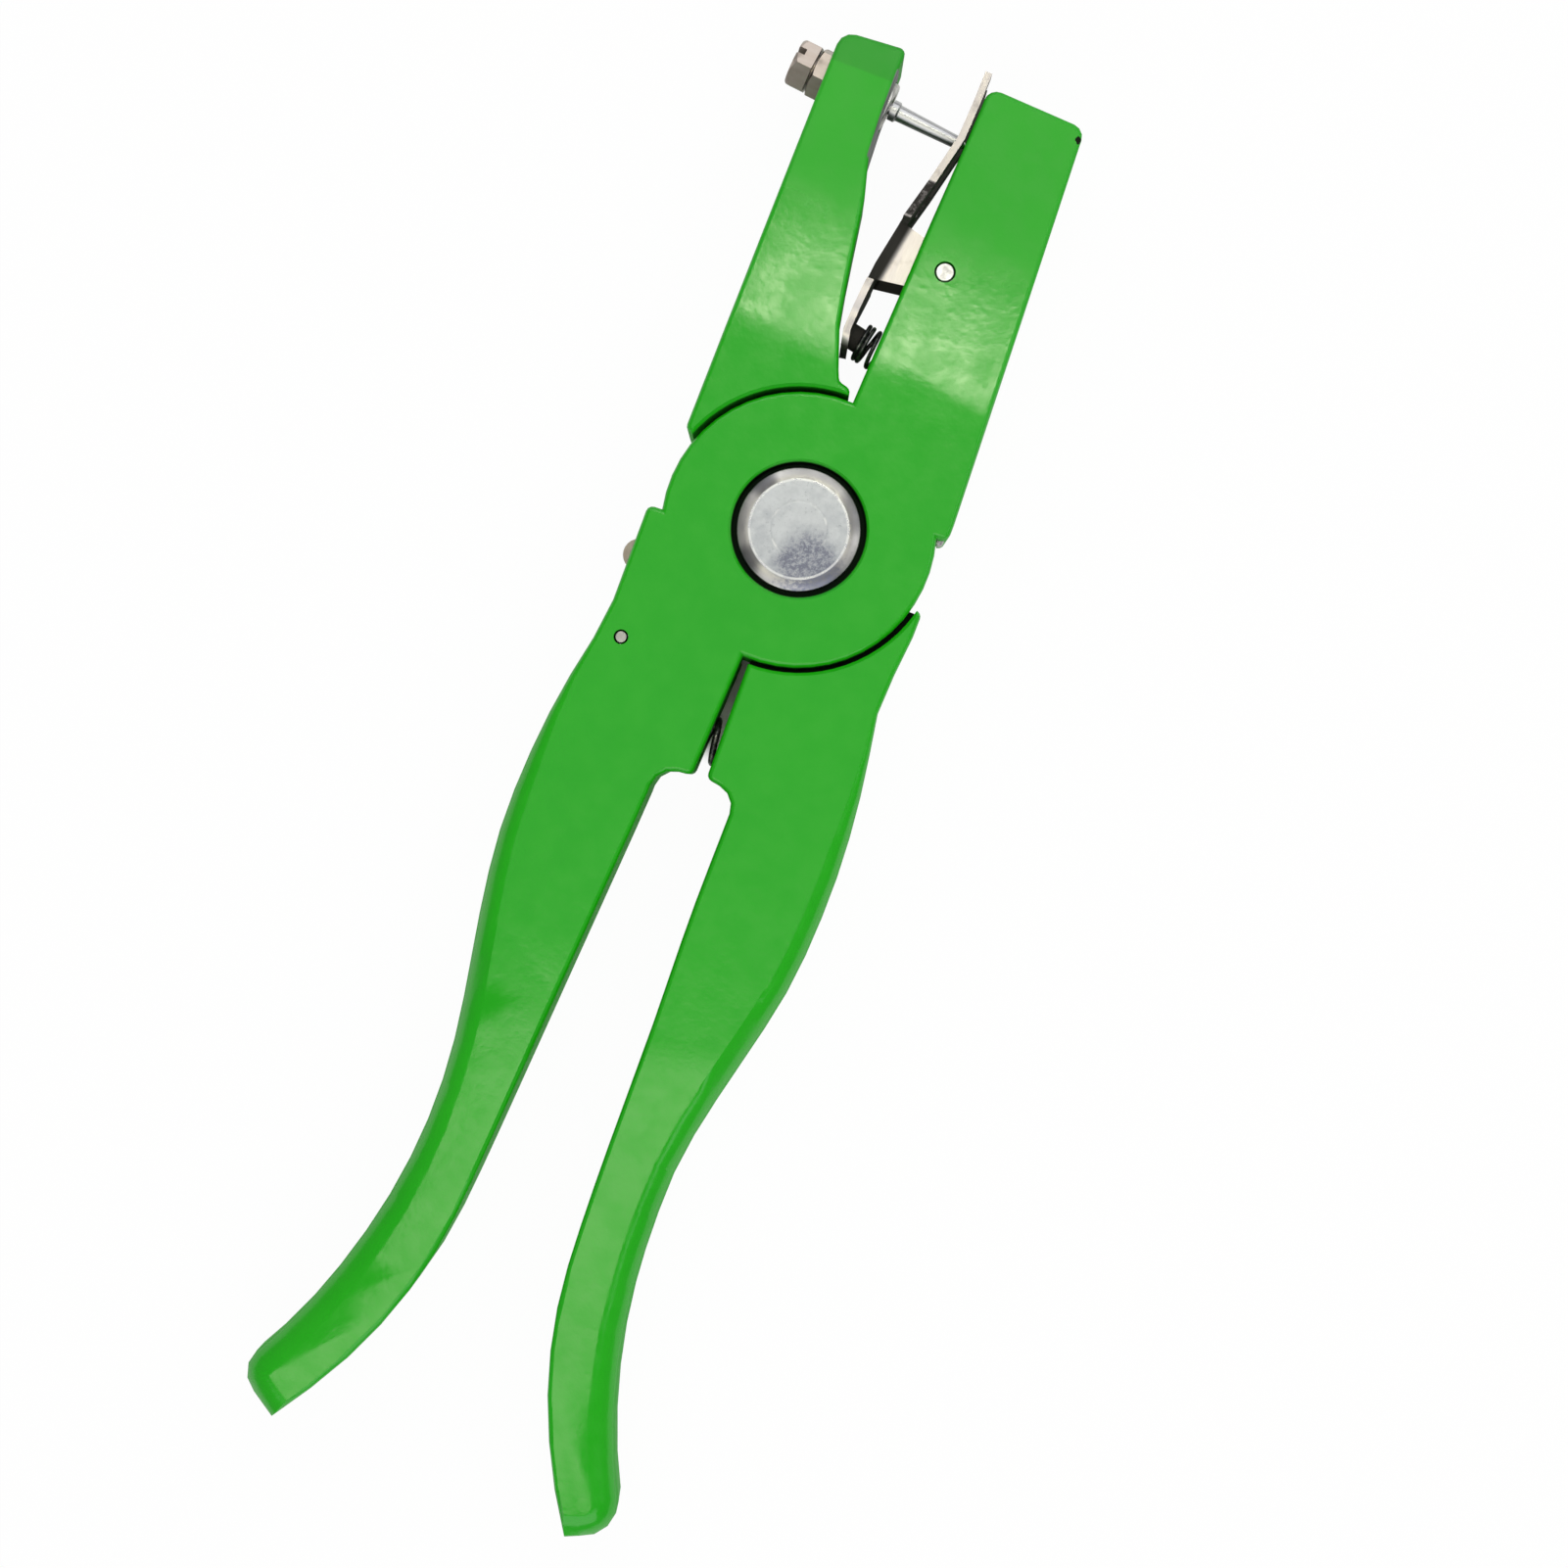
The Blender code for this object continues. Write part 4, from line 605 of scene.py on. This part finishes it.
clip_nickel = nickel_plate(
    "clip_nickel", (1500.0, 200.0, 1500.0), NICKEL, NICKEL_LIGHT, CLIP_ROUGHNESS, clip_painted_shade
)
clip_plate = smoothed_copy("clip_plate", CLIP_EDGE_RADIUS)
clip_plate.data.materials.append(clip_nickel)
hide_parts("clip_plate")
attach(clip_plate, "clip")

# The clip turns on a plain steel axle across the anvil jaw.
# It is pressed in until its ends lie just below the jaw's faces, and they are turned bright.

CLIP_AXLE_LINE = (0.0074, 0.0491)
CLIP_AXLE_EDGE_RADIUS = 0.00018
BRIGHT_STEEL = (0.93, 0.92, 0.91)

clip_axle = smoothed_copy("clip_axle", CLIP_AXLE_EDGE_RADIUS)
clip_axle.data.materials.append(turned_steel("axle_steel", CLIP_AXLE_LINE, 14000.0, BRIGHT_STEEL))
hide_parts("clip_axle")
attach(clip_axle, "front_lever")

# The clip spring is a short black coil between the clip's tail and a pocket in the anvil jaw.
# It pushes the tail out, which holds the fork against the jaw. Only the part outside the pocket gives way.

CLIP_SPRING = {
    "Coil radius": 0.003075,
    "Wire radius": 0.000375,
    "Length": 0.0102,
    "Turns": 6.2,
    "Closed at start": 2.0,
    "Closed at end": 1.0,
}
CLIP_SPRING_TILT = 12.0

clip_place = along_x(*CLIP_SPRING_START, CLIP_SPRING_TILT)
clip_spring = spring("clip_spring_coil", "clip_spring", CLIP_SPRING, black_wire, clip_place)
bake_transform(clip_spring)

# The needle's holder is screwed through the pin jaw from outside: a bright bush at the inner face,
# a slotted hexagon screw that holds the needle, and a thin nut that locks the screw.

NEEDLE_HOLDER = ("pin_bush", "pin_lock_nut", "pin_screw")
HEXAGON_DULL = (0.42, 0.355, 0.31)
HEXAGON_BRIGHT = (0.52, 0.455, 0.41)
HEXAGON_ROUGHNESS = 0.3
HEXAGON_EDGE_RADIUS = 0.00016
HEXAGON_EDGE_STEPS = 2
HEXAGON_HARD_ANGLE = 30.0
BUSH_STEEL = (0.66, 0.65, 0.63)


def hexagon_shade_and_dirt(place):
    """Painted shade on the facets that face down the tool, and a little handling dirt in patches elsewhere.
    """
    underside_shade = facing_of(place).axis("Y").step(-0.45, -0.2, 0.42, 0.0)
    return underside_shade.math("MAXIMUM", place.noise(420.0, 3.0).step(0.55, 0.75, 0.0, 0.3))


hexagon_nickel = nickel_plate(
    "hexagon_nickel",
    (260.0, 900.0, 900.0),
    HEXAGON_DULL,
    HEXAGON_BRIGHT,
    HEXAGON_ROUGHNESS,
    hexagon_shade_and_dirt,
)
bush_steel = turned_steel("bush_steel", PIVOT_LINE, 9000.0, BUSH_STEEL)
for node in NEEDLE_HOLDER:
    piece = smoothed_copy(node, HEXAGON_EDGE_RADIUS, HEXAGON_EDGE_STEPS, HEXAGON_HARD_ANGLE)
    piece.data.materials.append(bush_steel if node == "pin_bush" else hexagon_nickel)
    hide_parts(node)
    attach(piece, "rear_lever")

# The needle is hardened steel with a collar, held by its tang in the screw. It pierces the ear.
# Its edges stay as sharp as the solid's, so that its point keeps its form.


def needle_steel(name):
    """Hardened steel, polished along its length, blue-grey, with painted shade on the side down the tool."""

    def build(place):
        lines = place.stretched((25.0, 1400.0, 1400.0)).noise(1.0, 1.0)
        # Painted shade on the side that faces down the tool.
        underside_shade = facing_of(place).axis("Y").step(-0.75, -0.35, 0.75, 0.0)
        grey = lines.step(0.3, 0.7).colours((0.50, 0.505, 0.52), (0.60, 0.605, 0.62))
        return {
            "Base Color": underside_shade.colours(grey, (0.10, 0.10, 0.11)),
            "Metallic": 1.0,
            "Roughness": lines.step(0.3, 0.7, 0.3, 0.38),
            "Normal": relief(lines, 0.000001),
        }

    return finish(name, build)


applicator_pin = smoothed_copy("applicator_pin", 0.0)
applicator_pin.data.materials.append(needle_steel("needle_steel"))
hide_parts("applicator_pin")
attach(applicator_pin, "rear_lever")

# The latch is a flat steel plate in a slot of the left shoulder, with a rounded tab that a thumb presses.
# Its edges are rounded more than any other piece's, where the thumb rubs them.

LATCH_DULL = (0.33, 0.275, 0.24)
LATCH_BRIGHT = (0.43, 0.37, 0.33)
LATCH_ROUGHNESS = 0.36
LATCH_EDGE_RADIUS = 0.0007
LATCH_EDGE_STEPS = 3

latch_steel = nickel_plate(
    "latch_steel", (1500.0, 320.0, 1500.0), LATCH_DULL, LATCH_BRIGHT, LATCH_ROUGHNESS
)
latch = smoothed_copy("latch", LATCH_EDGE_RADIUS, LATCH_EDGE_STEPS)
latch.data.materials.append(latch_steel)
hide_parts("latch")
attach(latch, "latch")

# The latch turns on a small steel pin through the left shoulder.
# One end of it shows as a dot in the front face.

LATCH_PIN_LINE = (-0.0213, -0.0274)
LATCH_PIN_EDGE_RADIUS = 0.00012
DULL_STEEL = (0.46, 0.45, 0.43)

latch_pin = smoothed_copy("latch_pin", LATCH_PIN_EDGE_RADIUS)
latch_pin.data.materials.append(turned_steel("latch_pin_steel", LATCH_PIN_LINE, 20000.0, DULL_STEEL))
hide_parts("latch_pin")
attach(latch_pin, "front_lever")

# The latch spring is a small coil of black wire, from the latch's side into a bore of the left shoulder.
# It keeps the latch released until a thumb presses the tab.

latch_low, latch_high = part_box("latch_spring")
LATCH_SPRING = {
    "Coil radius": 0.001,
    "Wire radius": 0.0002,
    "Length": latch_high.x - latch_low.x,
    "Turns": 8.0,
    "Closed at start": 0.75,
    "Closed at end": 0.75,
}
latch_y = (latch_low.y + latch_high.y) / 2
latch_z = (latch_low.z + latch_high.z) / 2
latch_place = along_x(latch_low.x, latch_y, latch_z)
latch_spring = spring("latch_spring_coil", "latch_spring", LATCH_SPRING, black_wire, latch_place)
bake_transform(latch_spring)

# The heel stop is a small steel peg in the anvil jaw's heel, across from the rear lever's shoulder.
# At the joint's limit it is still 0.9 mm short of the shoulder, which it would meet if the jaws went on.

STOP_LINE = (0.0225, 0.0)
STOP_EDGE_RADIUS = 0.0001
STOP_STEEL = (0.46, 0.455, 0.45)

heel_stop = smoothed_copy("heel_stop", STOP_EDGE_RADIUS)
heel_stop.data.materials.append(turned_steel("stop_steel", STOP_LINE, 15000.0, STOP_STEEL))
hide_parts("heel_stop")
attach(heel_stop, "front_lever")

# The tool lies on a plain white table. The camera sees most of the white as light of its own, so that it
# is as pale as a studio's. That light is held back under the handles' root gap, which stays dark.

FLOOR_HALF = 1.5
FLOOR_CORNERS = [
    (-FLOOR_HALF, -FLOOR_HALF, 0),
    (FLOOR_HALF, -FLOOR_HALF, 0),
    (FLOOR_HALF, FLOOR_HALF, 0),
    (-FLOOR_HALF, FLOOR_HALF, 0),
]
FLOOR_WHITE_SHARE = 0.965
FLOOR_SHARE_IN_REFLECTIONS = 0.25
ROOT_GAP = (0.0, -0.0300, 0.0)
ROOT_GAP_REACH = 0.008
ROOT_GAP_FADE = 0.0045


def white_table():
    """Matt white with a fine grain, and a plain white light over it for what is seen of it."""
    made = bpy.data.materials.new("white_table")
    made.use_nodes = True
    tree = made.node_tree
    root = Shade(tree)
    surface = tree.nodes["Principled BSDF"]
    surface.inputs["Roughness"].default_value = 0.9
    grain = root.node("ShaderNodeTexCoord", None, None, "Object").noise(2500.0, 2.0)
    camera_ray = root.node("ShaderNodeLightPath", None, None, "Is Camera Ray")
    glossy_ray = root.node("ShaderNodeLightPath", None, None, "Is Glossy Ray")
    through_ray = root.node("ShaderNodeLightPath", None, None, "Is Transmission Ray")
    reflected = glossy_ray * FLOOR_SHARE_IN_REFLECTIONS
    seen = camera_ray.math("MAXIMUM", reflected).math("MAXIMUM", through_ray)
    table_place = root.node("ShaderNodeTexCoord", None, None, "Object")
    outside = table_place.distance(ROOT_GAP).step(ROOT_GAP_REACH, ROOT_GAP_REACH + ROOT_GAP_FADE)
    pale = grain.step(0.3, 0.7).colours((0.87, 0.87, 0.87), (0.9, 0.9, 0.9))
    tree.links.new(pale.socket, surface.inputs["Base Color"])
    white = root.node("ShaderNodeEmission", None, {"Color": (1.0, 1.0, 1.0, 1.0), "Strength": 1.0})
    mixed = root.node(
        "ShaderNodeMixShader",
        None,
        {0: seen * outside * FLOOR_WHITE_SHARE, 1: Shade(tree, surface.outputs[0]), 2: white},
    )
    tree.links.new(mixed.socket, tree.nodes["Material Output"].inputs[0])
    return made


table_mesh = bpy.data.meshes.new("table")
table_mesh.from_pydata(FLOOR_CORNERS, [], [(0, 1, 2, 3)])
table = bpy.data.objects.new("table", table_mesh)
bpy.context.scene.collection.objects.link(table)
table_mesh.materials.append(white_table())

# The camera looks straight down from above the tool.
# It is turned, so that the tool leans in the picture as it does in the photo.

PHOTO_TURN = radians(21.0)
CAMERA_PLACE = Vector((0.01295, -0.0406, 0.572))
CAMERA_FOCAL_MM = 75.6
CAMERA_SENSOR_MM = 36.0
CAMERA_NEAREST = 0.01

camera_data = bpy.data.cameras.new("camera")
camera_data.lens = CAMERA_FOCAL_MM
camera_data.sensor_width = CAMERA_SENSOR_MM
camera_data.clip_start = CAMERA_NEAREST
camera = bpy.data.objects.new("camera", camera_data)
camera.location = CAMERA_PLACE
camera.rotation_euler = (0.0, 0.0, PHOTO_TURN)
bpy.context.scene.collection.objects.link(camera)
bpy.context.scene.camera = camera

# Soft boxes stand round the tool, with two warm strips that leave the glow on its jaws and handles.
# A weak white surround fills the shadows.

WARM = (1.0, 0.98, 0.74)
SURROUND_STRENGTH = 0.3


def lamp(name, across, up, height, width, depth, watts, tint=(1.0, 1.0, 1.0), turn=0.0):
    """A soft box that faces the tool. across and up are in the photo's directions from the camera's line,
    and its width runs across, turned anticlockwise by turn degrees."""
    data = bpy.data.lights.new(name, "AREA")
    data.shape = "RECTANGLE"
    data.size = width
    data.size_y = depth
    data.energy = watts
    data.color = tint
    made = bpy.data.objects.new(name, data)
    right = Vector((cos(PHOTO_TURN), sin(PHOTO_TURN), 0))
    upwards = Vector((-sin(PHOTO_TURN), cos(PHOTO_TURN), 0))
    place = Vector((CAMERA_PLACE.x, CAMERA_PLACE.y, height)) + right * across + upwards * up
    made.location = place
    away = (place - Vector((CAMERA_PLACE.x, CAMERA_PLACE.y, 0))).normalized()
    wide = (right * cos(radians(turn)) + upwards * sin(radians(turn))).normalized()
    wide = (wide - away * wide.dot(away)).normalized()
    made.rotation_euler = Matrix((wide, away.cross(wide), away)).transposed().to_euler()
    bpy.context.scene.collection.objects.link(made)


lamp("strip_above", 0.12, 0.42, 1.2, 0.24, 0.11, 1.3, WARM, -15.0)
lamp("strip_below", -0.14, -0.32, 1.2, 0.46, 0.26, 1.1, WARM)
lamp("top_box", 0.0, 0.05, 1.6, 0.8, 0.8, 0.95)
lamp("up_box", 0.0, 1.3, 1.2, 2.0, 1.4, 12.0)
lamp("down_box", 0.0, -1.3, 1.2, 2.0, 1.4, 12.0)
lamp("right_box", 1.0, 0.2, 1.0, 0.9, 0.9, 3.0)

world = bpy.data.worlds.new("studio")
world.use_nodes = True
surround = world.node_tree.nodes["Background"]
surround.inputs["Color"].default_value = (1.0, 1.0, 1.0, 1.0)
surround.inputs["Strength"].default_value = SURROUND_STRENGTH
bpy.context.scene.world = world
bpy.context.scene.view_settings.view_transform = "Standard"
